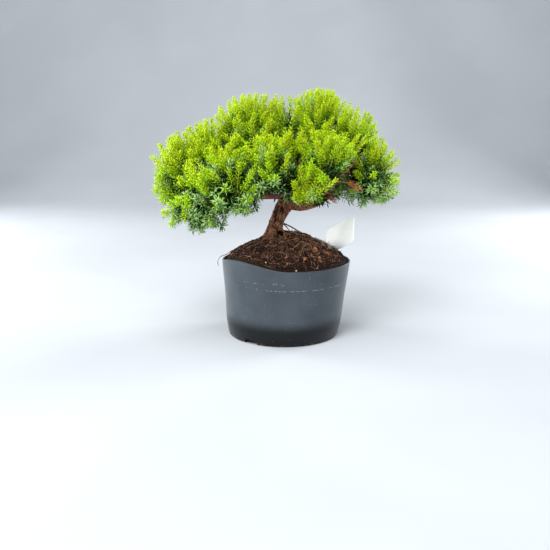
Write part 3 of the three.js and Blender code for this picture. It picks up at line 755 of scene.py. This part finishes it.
def spray_heading(mass, facing, tip, length):
    """The way a spray points: outward and up, as far as its foot stays in the crown."""
    for turned_up in (1, 0.6, 0.3, 0):
        lift = mass.lift * turned_up * smooth_step(facing[2], -0.8, -0.1)
        heading = unit(facing + np.array([0, 0, lift * (1 - abs(facing[2]))]))
        if crown_reach(tip - heading * length) < 0.95:
            break
    return heading


def grow_twigs():
    """Twigs spread evenly round each mass, skipped where they would leave its space or crowd another."""
    taken = np.array([sprig.base + unit(sprig.heading) * sprig.length * share
                      for sprig in SPRIGS if sprig.sun > 0 for share in (0, 0.5, 1)])
    twigs = []
    for bough in BOUGHS:
        mass = bough.mass
        random = np.random.default_rng(mass.seed)
        root = bough_tip(bough)
        for outward in even_directions(TWIGS.tried) * mass.radii:
            facing = unit(outward)
            endward = smooth_step(facing[0] * mass.centre[0] / ENDS.distance, *ENDS.facing)
            hanging = facing[2] < TWIGS.hanging_facing or (mass.lift < 0 and endward < 0.5)
            topward = smooth_step(facing[2], *TWIGS.top_facing)
            spacing = TWIGS.spacing + (TWIGS.top_spacing - TWIGS.spacing) * topward
            spacing = TWIGS.hanging_spacing if hanging else spacing
            foot = mass.centre + (root - mass.centre) * TWIGS.leave * random.random()
            unevenness = noise.noise(Vector((mass.centre + outward) / HOLLOWS.size))
            hollow = smooth_step(unevenness, *HOLLOWS.from_noise)
            hollow *= 1 - smooth_step(facing[2], *HOLLOWS.none_facing)
            for reach in TWIGS.reaches:
                reach = reach * (1 - HOLLOWS.depth * hollow)
                tip = mass.centre + outward * (reach - 0.01)
                crowded = np.linalg.norm(taken - tip, axis=1).min() < spacing
                if own_reach(mass, tip) <= 1 and not crowded:
                    taken = np.vstack((taken, tip))
                    length = HANGING_SPRAY.length if hanging else SPRAY.length
                    length *= random.uniform(0.85, 1.15) * (0.7 + 0.3 * reach)
                    heading = spray_heading(mass, facing, tip, length)
                    twigs.append(Sizes(
                        foot=foot, base=tip - heading * length, heading=heading, facing=facing, length=length,
                        hanging=hanging, random=random, sun=max(mass.sun, ENDS.sun * endward),
                        shade=HOLLOWS.shade * (1 - reach) / HOLLOWS.full_shade,
                        middle=mass.centre[2], half=mass.radii[2]))
                    break
    random = np.random.default_rng(SEEDS.sprigs)
    low = MASS_NAMED["foliage_front_low"]
    for sprig in SPRIGS:
        twigs.append(Sizes(
            foot=sprig.foot, base=sprig.base, heading=unit(sprig.heading), facing=np.array([0, -1.0, 0]),
            length=sprig.length, hanging=sprig.hanging, random=random, shade=0, sun=sprig.sun,
            middle=low.centre[2], half=low.radii[2]))
    return twigs


def grow_spray(twig):
    """A spray's plumes, their branchlets and the older shoots behind them: each one's start, first and last
    heading, length, light at its foot and its tip, kind, and the number of the shoot that carries it."""
    random, heading = twig.random, twig.heading
    spray = HANGING_SPRAY if twig.hanging else SPRAY
    across = unit(np.cross(heading, twig.facing + 0.4 * random.normal(size=3)))
    beside = np.cross(heading, across)
    tone = random.normal(0, UNEVEN_LIGHT.spray) - min(twig.shade, UNEVEN_LIGHT.darkest_spray)
    rise = np.array([0, 0, SHOOT.droop if twig.hanging else SHOOT.up_turn])
    kind = "star" if twig.hanging else "plume"

    def leaning_out(fan, tilt):
        return unit(heading + across * math.tan(math.radians(fan)) + beside * math.tan(math.radians(tilt)))

    shoots = []
    for place in np.linspace(-1, 1, spray.plumes):
        first = leaning_out(spray.fan * place + random.normal(0, 6), random.normal(0, spray.tilt))
        last = unit(first + heading * 0.35 + rise)
        length = twig.length * (1 - 0.25 * abs(place)) * random.uniform(0.86, 1.06)
        start = twig.base + heading * twig.length * random.uniform(0, 0.2)
        own = tone + random.normal(0, UNEVEN_LIGHT.shoot)
        carrier = len(shoots)
        light = own + PLUME_LIGHT.foot, own + PLUME_LIGHT.tip
        shoots.append((start, first, last, length, *light, kind, carrier))
        for number in range(spray.branchlets):
            along = random.uniform(*BRANCHLET.along)
            bend = unit(first + (last - first) * along)
            at = start + length * (first * along + (last - first) * along**2 / 2)
            outward = BRANCHLET.outward if place * (number % 2 * 2 - 1) < 0 else -BRANCHLET.outward
            out = unit(bend + across * outward + beside * random.normal(0, 0.3))
            light = own + BRANCHLET_LIGHT.least + BRANCHLET_LIGHT.along * along
            shoots.append((at, out, unit(out + bend * 0.5), random.uniform(*BRANCHLET.length),
                           light + BRANCHLET_LIGHT.foot, light + BRANCHLET_LIGHT.tip, kind, carrier))
    for number in range(spray.inner):
        share = (number + 1.2) / (spray.inner + 1)
        first = leaning_out(INNER.lean * (1 if number % 2 else -1), random.normal(0, 45))
        own = tone + INNER_LIGHT.least + random.normal(0, UNEVEN_LIGHT.inner)
        shoots.append((twig.foot + (twig.base - twig.foot) * share, first, unit(first + rise * 0.5),
                       INNER.length * random.uniform(0.8, 1.2), own + INNER_LIGHT.foot,
                       own + INNER_LIGHT.tip, "inner", len(shoots)))
    return [(*shoot, twig.facing, twig.sun, twig.middle, twig.half) for shoot in shoots]


def shoot_places(shoots, share):
    """Places along shoots at a share of their length, (shoots, shares, 3)."""
    share = share[..., None]
    start, first, last = (shoots[key][:, None] for key in ("start", "first", "last"))
    return start + shoots["length"][:, None, None] * (first * share + (last - first) * share**2 / 2)


def tips_of(shoots):
    return shoot_places(shoots, np.ones((len(shoots["length"]), 1)))[:, 0]


def grown_out(shoots):
    """Lengths that carry the shoots out to the crown's uneven surface, and which of them keep within it."""
    full = shoots["length"]
    bumps = np.array([noise.noise(Vector(tip) / SHOOT.bump) for tip in tips_of(shoots)])
    surface = SHOOT.reach - SHOOT.uneven * np.clip(0.3 + bumps, 0, 1)
    lengths, settled = full.copy(), np.zeros(len(full), bool)
    for share in SHOOT.lengths:
        fits = ~settled & (crown_reach(tips_of({**shoots, "length": full * share})) <= surface)
        lengths[fits] = full[fits] * share
        settled |= fits
    return lengths, settled


def clear_of_limbs(shoots, limbs):
    """Which shoots stay out of the trunk and boughs."""
    steps, room = 24, 2
    shares = np.tile(np.array([0.35, 0.7, 1.0]), (len(shoots["length"]), 1))
    places = shoot_places(shoots, shares)
    clear = np.ones(len(places), bool)
    for limb in limbs:
        points, _, _ = curve_through(limb.path, steps)
        for step, point in enumerate(points):
            gap = np.linalg.norm(places - point, axis=2).min(axis=1)
            clear &= gap > limb.radius_at(step / steps, 0) + room
    return clear


def in_the_open(shoots):
    """Which shoots keep out of the bare spaces and dark gaps, and leave dead twigs and sprigs in sight."""
    shares = np.tile(np.array([0, 0.35, 0.7, 1.0]), (len(shoots["length"]), 1))
    places = shoot_places(shoots, shares)
    clear = np.ones(len(places), bool)
    for space in OPEN_SPACES:
        clear &= (reach_in(space, places) > 1).all(axis=1)
    for centre, radius in POCKETS:
        clear &= (np.linalg.norm(places - centre, axis=2) > radius).all(axis=1)
    twig_room, twig_front, sprig_room, sprig_front = 6, 3, 11, -13
    in_sight = [(point, twig_room, twig_front)
                for path in DEAD_TWIGS for point in curve_through(path, 12)[0][3:]]
    in_sight += [(sprig.base + unit(sprig.heading) * sprig.length * share, sprig_room, sprig_front)
                 for sprig in SPRIGS if sprig.sun > 0 for share in np.linspace(0, 1, 6)]
    for point, radius, front in in_sight:
        offset = places - point
        near = np.hypot(offset[..., 0], offset[..., 2]) < radius
        clear &= ~(near & (offset[..., 1] < front)).any(axis=1)
    return clear


def grow_shoots(twigs, limbs):
    """All the crown's shoots as arrays, with the sun on each; a branchlet stays only if its shoot does."""
    rows, firsts = [], []
    for twig in twigs:
        spray = grow_spray(twig)
        firsts += [len(rows)] * len(spray)
        rows += spray
    keys = ("start", "first", "last", "length", "foot_light", "tip_light", "kind", "carrier", "facing", "sun",
            "middle", "half")
    shoots = {key: np.array([row[index] for row in rows]) for index, key in enumerate(keys)}
    shoots["length"], within = grown_out(shoots)
    keep = within & clear_of_limbs(shoots, limbs) & in_the_open(shoots)
    keep &= keep[shoots["carrier"] + firsts]
    shoots = {key: values[keep] for key, values in shoots.items()}
    tips = tips_of(shoots)
    in_mass = np.clip((tips[:, 2] - shoots["middle"]) / shoots["half"], -1, 1)
    in_crown = smooth_step(tips[:, 2], *SUN.heights)
    shoots["sun"] = shoots["sun"] + SUN.least + SUN.by_height * in_crown + SUN.in_mass * in_mass
    return shoots


def needle_corners(base, pointing, side, length, width, thickness):
    """Five corners of each needle: its foot, its two edges and its keel where it is widest, and its tip."""
    keel = np.cross(side, pointing)
    middle = base + pointing * length[..., None] * NEEDLE.widest
    return np.stack((base, middle - side * width / 2, middle + side * width / 2, middle + keel * thickness,
                     base + pointing * length[..., None]), axis=-2)


NEEDLE_FACES = np.array([(0, 1, 2), (1, 4, 2), (0, 2, 3), (0, 3, 1), (2, 4, 3), (1, 3, 4)])


def grow_needles(shoots, needle):
    """Needles in whorls of three along every shoot: their corners and the colour each is dealt."""
    random = np.random.default_rng(needle.seed)
    count, each, whorls = len(shoots["length"]), SHOOT.needles, needle.whorls
    share = ((np.arange(whorls) + 0.6) / whorls) ** needle.crowding
    share = np.tile(share, (count, 1)) + random.normal(0, 0.006, (count, whorls))
    stem = shoot_places(shoots, share)
    tangent = unit(shoots["first"][:, None] + (shoots["last"] - shoots["first"])[:, None] * share[..., None])
    helper = np.where(np.abs(tangent[..., 2:]) < 0.9, [[[0, 0, 1.0]]], [[[1.0, 0, 0]]])
    across = unit(np.cross(tangent, helper))
    beside = np.cross(tangent, across)
    turn = random.uniform(0, FULL_TURN, (count, 1, 1)) + np.arange(whorls)[:, None] * math.pi / 3
    turn = turn + np.arange(each) * FULL_TURN / each + random.normal(0, 0.2, (count, whorls, each))
    radial = across[:, :, None] * np.cos(turn)[..., None] + beside[:, :, None] * np.sin(turn)[..., None]
    light = shoots["sun"][:, None] + shoots["foot_light"][:, None]
    light = light + (shoots["tip_light"] - shoots["foot_light"])[:, None] * share
    light = light - DEPTH.shade * smooth_step(crown_reach(stem), *DEPTH.reach)
    outer = unit(shoots["facing"] + np.array([0, 0, 0.8]))[:, None, None]
    light = light[..., None] + DEPTH.side * (radial * outer).sum(axis=-1)
    light = light + random.normal(0, UNEVEN_LIGHT.needle, turn.shape)
    shaded = random.random(count) < smooth_step(shoots["sun"] + shoots["tip_light"], *SHADED.light)
    lean = needle.open + (needle.closed - needle.open) * share**2.5 + SHADED.lean * shaded[:, None]
    lean = np.radians(lean[..., None] + random.normal(0, 8, turn.shape))[..., None]
    along = tangent[:, :, None]
    pointing = along * np.cos(lean) + radial * np.sin(lean)
    length = needle.length * (0.9 + 0.5 * share * (1 - share) - 0.25 * share**6)
    length = length * (1 + SHADED.longer * shaded[:, None])
    length = length[..., None] * random.uniform(0.85, 1.12, turn.shape)
    base = stem[:, :, None] + radial * SHOOT.stem_radius * 0.5
    side = np.cross(along, radial)
    corners = needle_corners(base, pointing, side, length, needle.width, NEEDLE.thickness)
    colours = np.full(turn.shape, "deep_green", dtype=object)
    for name, least in LEAST_LIGHT:
        colours[light > least] = name
    blue = shaded[:, None, None] & (light < SHADED.needles_below)
    bright = light + SHADED.uneven * random.random(turn.shape)
    for name, least in LEAST_LIGHT_SHADED:
        colours[blue & (bright > least)] = name
    return corners.reshape(-1, 5, 3), colours.reshape(-1)


def make_needles(shoots, materials):
    corners, colours = [], []
    for kind, needle in NEEDLES.items():
        chosen = {key: values[shoots["kind"] == kind] for key, values in shoots.items()}
        some_corners, some_colours = grow_needles(chosen, needle)
        corners.append(some_corners)
        colours.append(some_colours)
    corners, colours = np.concatenate(corners), np.concatenate(colours)
    for name, material in materials.items():
        dealt = corners[colours == name]
        add_joined("needles_" + name, dealt, NEEDLE_FACES, material, FOLIAGE_NODES)


def make_stems(shoots, materials):
    steps, sides = 4, 3
    share = np.tile(np.linspace(0, 0.97, steps), (len(shoots["length"]), 1))
    paths = shoot_places(shoots, share)
    radii = np.tile(np.linspace(1, 0.35, steps) * SHOOT.stem_radius, (len(paths), 1))
    places = tube_places(paths, radii, sides)
    sunny = shoots["sun"] + shoots["tip_light"] > 0.6
    faces = tube_faces(steps, sides)
    for name, chosen in (("green", sunny), ("brown", ~sunny)):
        add_joined("shoot_stems_" + name, places[chosen], faces, materials[name], FOLIAGE_NODES,
                   True)


def make_twigs(twigs, material):
    """Twigs that sag a little from their foot to the spray at their end."""
    steps, sides = 9, 5
    share = np.linspace(0, 1, steps)[:, None]
    paths = []
    for twig in twigs:
        bend = twig.foot + (twig.base - twig.foot) * 0.6 - np.array([0, 0, 4])
        to_base = (1 - share) ** 2 * twig.foot + 2 * share * (1 - share) * bend + share**2 * twig.base
        paths.append(np.vstack((to_base, twig.base + twig.heading * twig.length * 0.12)))
    paths = np.array(paths)
    radii = np.tile(np.linspace(TWIGS.foot_radius, 0.5, paths.shape[1]), (len(paths), 1))
    faces = tube_faces(paths.shape[1], sides)
    add_joined("twigs", tube_places(paths, radii, sides), faces, material, FOLIAGE_NODES, True)


def make_dead_twigs(material):
    """Dead twigs that have dried out on the tree, with side twigs and what is left of their needles."""
    random = np.random.default_rng(SEEDS.dead_twigs)
    steps, sides = 12, 6
    share = np.linspace(0, 1, steps + 1)[:, None]
    tubes, bases, headings = [], [], []
    for path in DEAD_TWIGS:
        points, tangents, _ = curve_through(path, steps)
        tubes.append(tube_places(points[None], np.linspace(*DEAD.radii, steps + 1)[None], sides))
        for step in np.repeat(np.arange(DEAD.bare_steps, steps + 1), DEAD.twiglets):
            heading = unit(tangents[step] + 0.55 * random.normal(size=3))
            twiglet = points[step] + heading * random.uniform(*DEAD.twiglet_length) * share
            twiglet = twiglet - np.array([0, 0, DEAD.sag]) * share**2
            tubes.append(tube_places(twiglet[None], np.linspace(*DEAD.twiglet_radii, steps + 1)[None], sides))
            bases.append(twiglet[3:])
            headings.append(np.tile(heading, (len(twiglet[3:]), 1)))
    bases, headings = np.concatenate(bases), np.concatenate(headings)
    pointing = unit(headings + 0.8 * random.normal(size=headings.shape))
    side = unit(np.cross(pointing, random.normal(size=headings.shape)))
    lengths = random.uniform(*DEAD.needle_length, len(bases))
    needles = needle_corners(bases, pointing, side, lengths, DEAD.needle_width, DEAD.needle_thickness)
    names = ["foliage_front_low", "foliage_front_right", "foliage_right_end"]
    faces = tube_faces(steps + 1, sides)
    add_joined("dead_twigs", np.concatenate(tubes), faces, material, names, True)
    add_joined("dead_needles", needles, NEEDLE_FACES, material, names)


# Label


def make_label(material):
    bm = bmesh.new()
    bmesh.ops.create_grid(bm, x_segments=1, y_segments=1, size=0.5)
    bmesh.ops.scale(bm, vec=(LABEL.width, LABEL.height, 1), verts=bm.verts)
    bmesh.ops.bevel(bm, geom=bm.verts[:], offset=LABEL.corner, segments=10, profile=0.5, affect="VERTICES",
                    material=-1)
    face = bm.faces[:]
    raised = bmesh.ops.extrude_face_region(bm, geom=face)["geom"]
    bmesh.ops.translate(bm, vec=(0, 0, LABEL.thickness),
                        verts=[item for item in raised if isinstance(item, bmesh.types.BMVert)])
    bmesh.ops.recalc_face_normals(bm, faces=bm.faces)
    rims = [edge for edge in bm.edges if edge.calc_face_angle(0) > 1]
    bmesh.ops.bevel(bm, geom=rims, offset=LABEL.soft_edge, segments=2, profile=0.5, affect="EDGES",
                    material=-1)
    bmesh.ops.translate(bm, vec=(0, 0, -LABEL.thickness / 2), verts=bm.verts)
    across = Vector(LABEL.across).normalized()
    facing = across.cross(Vector(LABEL.along)).normalized()
    place = Matrix((across, facing.cross(across), facing)).transposed().to_4x4()
    bmesh.ops.transform(bm, matrix=Matrix.Translation(LABEL.centre) @ place, verts=bm.verts)
    dress(add_object("plant_label_card", mesh_from_bmesh("plant_label_card", bm, 40), material),
          ["plant_label"])


# Materials


EASED = {"interpolation_type": "SMOOTHSTEP"}
COLOURS = {"data_type": "RGBA", "output": 2}
SCUFFS = (  # height, half thickness, left and right end, how broken and how strong
    (71.5, 0.6, -24, 84, 0.46, 0.3), (72.5, 1.1, -62, -18, 0.56, 0.22), (80, 2.6, -58, 6, 0.58, 0.22),
    (77, 0.5, 20, 80, 0.55, 0.15), (86, 1.6, -40, 20, 0.62, 0.15),
)


def moulded_polypropylene():
    """Thin moulded polypropylene: grey and satin, with a dark foot that is painted shade and a painted dark
    reflection, rubbed pale specks, a scuffed line round the front and dry dirt along the bottom."""
    material, tree, shader = new_material("moulded_polypropylene", 0.28, specular=0.3)
    place = add_node(tree, "ShaderNodeTexCoord", output="Object")
    across = add_node(tree, "ShaderNodeSeparateXYZ", {0: place}, "X")
    height = add_node(tree, "ShaderNodeSeparateXYZ", {0: place}, "Z")
    cloud = add_node(tree, "ShaderNodeTexNoise", {"Vector": place, "Scale": 1 / (30 * MM), "Detail": 6})
    wall = add_node(tree, "ShaderNodeValToRGB", {0: cloud}, stops=[(0.3, "#363d44"), (0.7, "#414950")])
    # Painted shade and dark reflection: the foot, where the wall tucks in, is near black up to 17 mm and fades
    # into the wall by 34 mm
    above_foot_shade = add_node(tree, "ShaderNodeMapRange", {0: height, 1: 17 * MM, 2: 34 * MM}, **EASED)
    colour = add_node(tree, "ShaderNodeMix", {0: above_foot_shade, 6: linear("#0a0c0f"), 7: wall}, **COLOURS)

    grit = add_node(tree, "ShaderNodeTexVoronoi", {"Vector": place, "Scale": 1 / (3.6 * MM)})
    specks = add_node(tree, "ShaderNodeMapRange", {0: grit, 1: 0.13, 2: 0.06}, **EASED)
    patches = add_node(tree, "ShaderNodeTexNoise", {"Vector": place, "Scale": 1 / (16 * MM), "Detail": 3})
    patchy = add_node(tree, "ShaderNodeMapRange", {0: patches, 1: 0.45, 2: 0.7, 4: 0.75}, **EASED)
    dust = add_node(tree, "ShaderNodeMath", {0: specks, 1: patchy}, operation="MULTIPLY")
    colour = add_node(tree, "ShaderNodeMix", {0: dust, 6: colour, 7: linear("#a8aeb0")}, **COLOURS)

    dashes = add_node(tree, "ShaderNodeTexNoise", {"Vector": place, "Scale": 1 / (2.6 * MM), "Detail": 4})
    for level, thickness, left, right, least, strength in SCUFFS:
        off = add_node(tree, "ShaderNodeMath", {0: height, 1: level * MM}, operation="SUBTRACT")
        off = add_node(tree, "ShaderNodeMath", {0: off}, operation="ABSOLUTE")
        broken = {0: dashes, 1: least, 2: least + 0.1, 4: strength}
        shown = add_node(tree, "ShaderNodeMapRange", broken, **EASED)
        for value, none, full in ((off, thickness, thickness * 0.4), (across, left - 6, left + 6),
                                  (across, right + 6, right - 6)):
            within = add_node(tree, "ShaderNodeMapRange", {0: value, 1: none * MM, 2: full * MM}, **EASED)
            shown = add_node(tree, "ShaderNodeMath", {0: shown, 1: within}, operation="MULTIPLY")
        colour = add_node(tree, "ShaderNodeMix", {0: shown, 6: colour, 7: linear("#b4babc")}, **COLOURS)

    smears = add_node(tree, "ShaderNodeTexNoise", {"Vector": place, "Scale": 1 / (6 * MM), "Detail": 5})
    smears = add_node(tree, "ShaderNodeMapRange", {0: smears, 1: 0.48, 2: 0.64, 4: 0.5}, **EASED)
    low = add_node(tree, "ShaderNodeMapRange", {0: height, 1: 4.5 * MM, 2: 1 * MM}, **EASED)
    dirt = add_node(tree, "ShaderNodeMath", {0: smears, 1: low}, operation="MULTIPLY")
    colour = add_node(tree, "ShaderNodeMix", {0: dirt, 6: colour, 7: linear("#6d5436")}, **COLOURS)
    tree.links.new(colour, shader.inputs["Base Color"])
    grain = add_node(tree, "ShaderNodeTexNoise", {"Vector": place, "Scale": 1 / (1.2 * MM), "Detail": 3})
    bump = add_node(tree, "ShaderNodeBump", {"Strength": 0.07, "Distance": 0.2 * MM, "Height": grain})
    tree.links.new(bump, shader.inputs["Normal"])
    return material


def potting_soil():
    """Peat and composted bark: dark brown, dull, with paler fibres."""
    material, tree, shader = new_material("potting_soil", 0.95, specular=0.1)
    place = add_node(tree, "ShaderNodeTexCoord", output="Object")
    crumbs = add_node(tree, "ShaderNodeTexNoise", {"Vector": place, "Scale": 1 / (2.2 * MM), "Detail": 6,
                                                   "Roughness": 0.7})
    colour = add_node(tree, "ShaderNodeValToRGB", {0: crumbs},
                      stops=[(0.32, "#0b0604"), (0.5, "#1e120d"), (0.7, "#3d2a1f")])
    tree.links.new(colour, shader.inputs["Base Color"])
    bump = add_node(tree, "ShaderNodeBump", {"Strength": 0.8, "Distance": 0.8 * MM, "Height": crumbs})
    tree.links.new(bump, shader.inputs["Normal"])
    return material


def mottled(name, dark, light, size):
    """Dry plant stuff: dull, with darker and lighter stretches of this size, as bark and roots have."""
    material, tree, shader = new_material(name, 0.9, specular=0.15)
    place = add_node(tree, "ShaderNodeTexCoord", output="Object")
    stretches = add_node(tree, "ShaderNodeTexNoise", {"Vector": place, "Scale": 1 / (size * MM), "Detail": 4})
    colour = add_node(tree, "ShaderNodeValToRGB", {0: stretches}, stops=[(0.35, dark), (0.65, light)])
    tree.links.new(colour, shader.inputs["Base Color"])
    return material


def juniper_bark():
    """Juniper bark: brown shreds that run along the limb, dark in the cracks, partly its own colour there and
    partly painted shade, and redder on young boughs.
    """
    material, tree, shader = new_material("juniper_bark", 0.85, specular=0.15)
    place = add_node(tree, "ShaderNodeTexCoord", output="Object")
    relief = add_node(tree, "ShaderNodeAttribute", output="Fac", attribute_name="relief")
    young = add_node(tree, "ShaderNodeAttribute", output="Fac", attribute_name="young")
    # The lower the relief, the darker: in the cracks partly painted shade, and in the hollow at the trunk's
    # foot wholly painted shade
    old_bark = add_node(tree, "ShaderNodeValToRGB", {0: relief},
                        stops=[(0.1, "#100805"), (0.5, "#2d1b11"), (0.8, "#4b3120"), (1.0, "#7b583e")])
    red_bark = add_node(tree, "ShaderNodeValToRGB", {0: relief},
                        stops=[(0.1, "#28140d"), (0.55, "#6b3d2d"), (1.0, "#9a6750")])
    bark = add_node(tree, "ShaderNodeMix", {0: young, 6: old_bark, 7: red_bark}, **COLOURS)
    patches = add_node(tree, "ShaderNodeTexNoise", {"Vector": place, "Scale": 1 / (5 * MM), "Detail": 5})
    tone = add_node(tree, "ShaderNodeMapRange", {0: patches, 1: 0.3, 2: 0.7, 3: 0.6, 4: 1.3}, **EASED)
    toned = add_node(tree, "ShaderNodeHueSaturation", {"Value": tone, "Color": bark})
    tree.links.new(toned, shader.inputs["Base Color"])
    bump = add_node(tree, "ShaderNodeBump", {"Strength": 0.6, "Distance": 0.5 * MM, "Height": patches})
    tree.links.new(bump, shader.inputs["Normal"])
    return material


def label_card():
    """Rigid white PVC: smooth and a little glossy, splashed with soil near the ground."""
    material, tree, shader = new_material("white_pvc_label", 0.4)
    place = add_node(tree, "ShaderNodeTexCoord", output="Object")
    height = add_node(tree, "ShaderNodeSeparateXYZ", {0: place}, "Z")
    clouds = add_node(tree, "ShaderNodeTexNoise", {"Vector": place, "Scale": 1 / (14 * MM), "Detail": 5})
    card = add_node(tree, "ShaderNodeValToRGB", {0: clouds}, stops=[(0.3, "#eef1f2"), (0.6, "#f7f9f9")])
    drops = add_node(tree, "ShaderNodeTexNoise", {"Vector": place, "Scale": 1 / (1.6 * MM), "Detail": 3})
    drops = add_node(tree, "ShaderNodeMapRange", {0: drops, 1: 0.52, 2: 0.64, 4: 0.5}, **EASED)
    low = add_node(tree, "ShaderNodeMapRange", {0: height, 1: 110 * MM, 2: 102 * MM}, **EASED)
    splash = add_node(tree, "ShaderNodeMath", {0: drops, 1: low}, operation="MULTIPLY")
    colour = add_node(tree, "ShaderNodeMix", {0: splash, 6: card, 7: linear("#6a5a48")}, **COLOURS)
    tree.links.new(colour, shader.inputs["Base Color"])
    return material


# Studio


def make_studio():
    """A matt pale floor that sweeps up behind the part, soft lamps and the camera."""
    floor_material, tree, shader = new_material("pale_floor", 0.9)
    place = add_node(tree, "ShaderNodeTexCoord", output="Object")
    tone = add_node(tree, "ShaderNodeTexNoise", {"Vector": place, "Scale": 3})
    colour = add_node(tree, "ShaderNodeValToRGB", {0: tone}, stops=[(0.4, "#b6bbc1"), (0.6, "#bbc0c6")])
    tree.links.new(colour, shader.inputs["Base Color"])
    half_side, sweep_start, sweep_radius = 3.0, 1.2, 0.8
    bm = bmesh.new()
    bmesh.ops.create_grid(bm, x_segments=4, y_segments=80, size=half_side)
    for vert in bm.verts:
        beyond = vert.co.y - sweep_start
        if beyond > 0:
            angle = min(beyond / sweep_radius, math.pi / 2)
            vert.co.z = sweep_radius * (1 - math.cos(angle)) + max(0, beyond - sweep_radius * math.pi / 2)
            vert.co.y = sweep_start + sweep_radius * math.sin(angle)
    mesh = bpy.data.meshes.new("floor")
    bm.to_mesh(mesh)
    bm.free()
    mesh.shade_smooth()
    add_object("floor", mesh, floor_material)

    world = bpy.data.worlds.new("studio")
    bpy.context.scene.world = world
    world.use_nodes = True
    world.node_tree.nodes["Background"].inputs["Color"].default_value = linear("#e9eef2")
    world.node_tree.nodes["Background"].inputs["Strength"].default_value = 0.36
    for name, place, target, size, power in (  # metres and watts
        ("key", (-0.55, -1.3, 1.5), (0, 0, 0.16), 0.9, 34),
        ("right_fill", (1.1, -1.4, 0.6), (0, 0, 0.14), 1.0, 7),
        ("left_fill", (-1.1, -1.2, 0.36), (0.06, 0, 0.13), 0.7, 13),
        ("top", (-0.2, -0.3, 1.7), (0, 0, 0.2), 1.1, 12),
        ("left_edge", (-1.2, 0.6, 0.35), (0, 0, 0.08), 0.6, 17),
        ("right_edge", (1.2, 0.75, 0.35), (0, 0, 0.08), 0.6, 22),
    ):
        light = bpy.data.lights.new(name, "AREA")
        light.size = size
        light.energy = power
        lamp = bpy.data.objects.new(name, light)
        bpy.context.scene.collection.objects.link(lamp)
        lamp.location = place
        lamp.rotation_euler = (Vector(target) - Vector(place)).to_track_quat("-Z", "Y").to_euler()

    picture_side, focal_pixels, sensor = 550, 780, 36
    camera = bpy.data.cameras.new("camera")
    camera.sensor_width = sensor
    camera.lens = sensor * focal_pixels / picture_side
    view = bpy.data.objects.new("camera", camera)
    bpy.context.scene.collection.objects.link(view)
    eye, look_down, roll = (-0.011, -0.969, 0.296), math.radians(90 - 12.9), math.radians(0.33)
    view.matrix_world = (Matrix.Translation(eye) @ Matrix.Rotation(look_down, 4, "X")
                         @ Matrix.Rotation(roll, 4, "Z"))
    bpy.context.scene.camera = view
    bpy.context.scene.view_settings.view_transform = "Standard"


# Assembly

make_studio()
make_pot(moulded_polypropylene())
make_soil(potting_soil())
for number, (name, dark, light, count, sizes, flatness, seen) in enumerate(CRUMBS):
    material = mottled("bark_crumb_" + name, dark, light, 5)
    scatter_crumbs("crumbs_" + name, material, count, sizes, flatness, SEEDS.crumbs + number, seen)
for number, (name, dark, light, count, lengths, radius, reach, above, centre) in enumerate(THREADS):
    material = mottled("fine_root_" + name, dark, light, 7)
    scatter_threads("root_threads_" + name, material, count, lengths, radius, reach, above, centre,
                    SEEDS.threads + number)
make_label(label_card())
limbs = all_limbs()
make_bark(juniper_bark(), limbs)
make_rootlets(mottled("root_bark", "#452e20", "#a5846a", 6))
# Juniper needles have a thin bloom of wax: nearly matt, each spray in its own plain greens
needle_materials = {name: new_material("juniper_needle_" + name, 0.6, colour=colour, specular=0.1)[0]
                    for name, colour in NEEDLE_COLOURS.items()}
# Young stems are yellow-green, older ones brown under thin bark, and all of them dull
stem_materials = {name: new_material("juniper_" + name, 0.7, colour=colour)[0]
                  for name, colour in (("green", "#bcae2a"), ("brown", "#7a5030"), ("twig", "#5a3626"))}
twigs = grow_twigs()
shoots = grow_shoots(twigs, limbs)
make_needles(shoots, needle_materials)
make_stems(shoots, stem_materials)
make_twigs(twigs, stem_materials["twig"])
make_dead_twigs(mottled("dead_juniper_twig", "#a0683a", "#cf9660", 5))
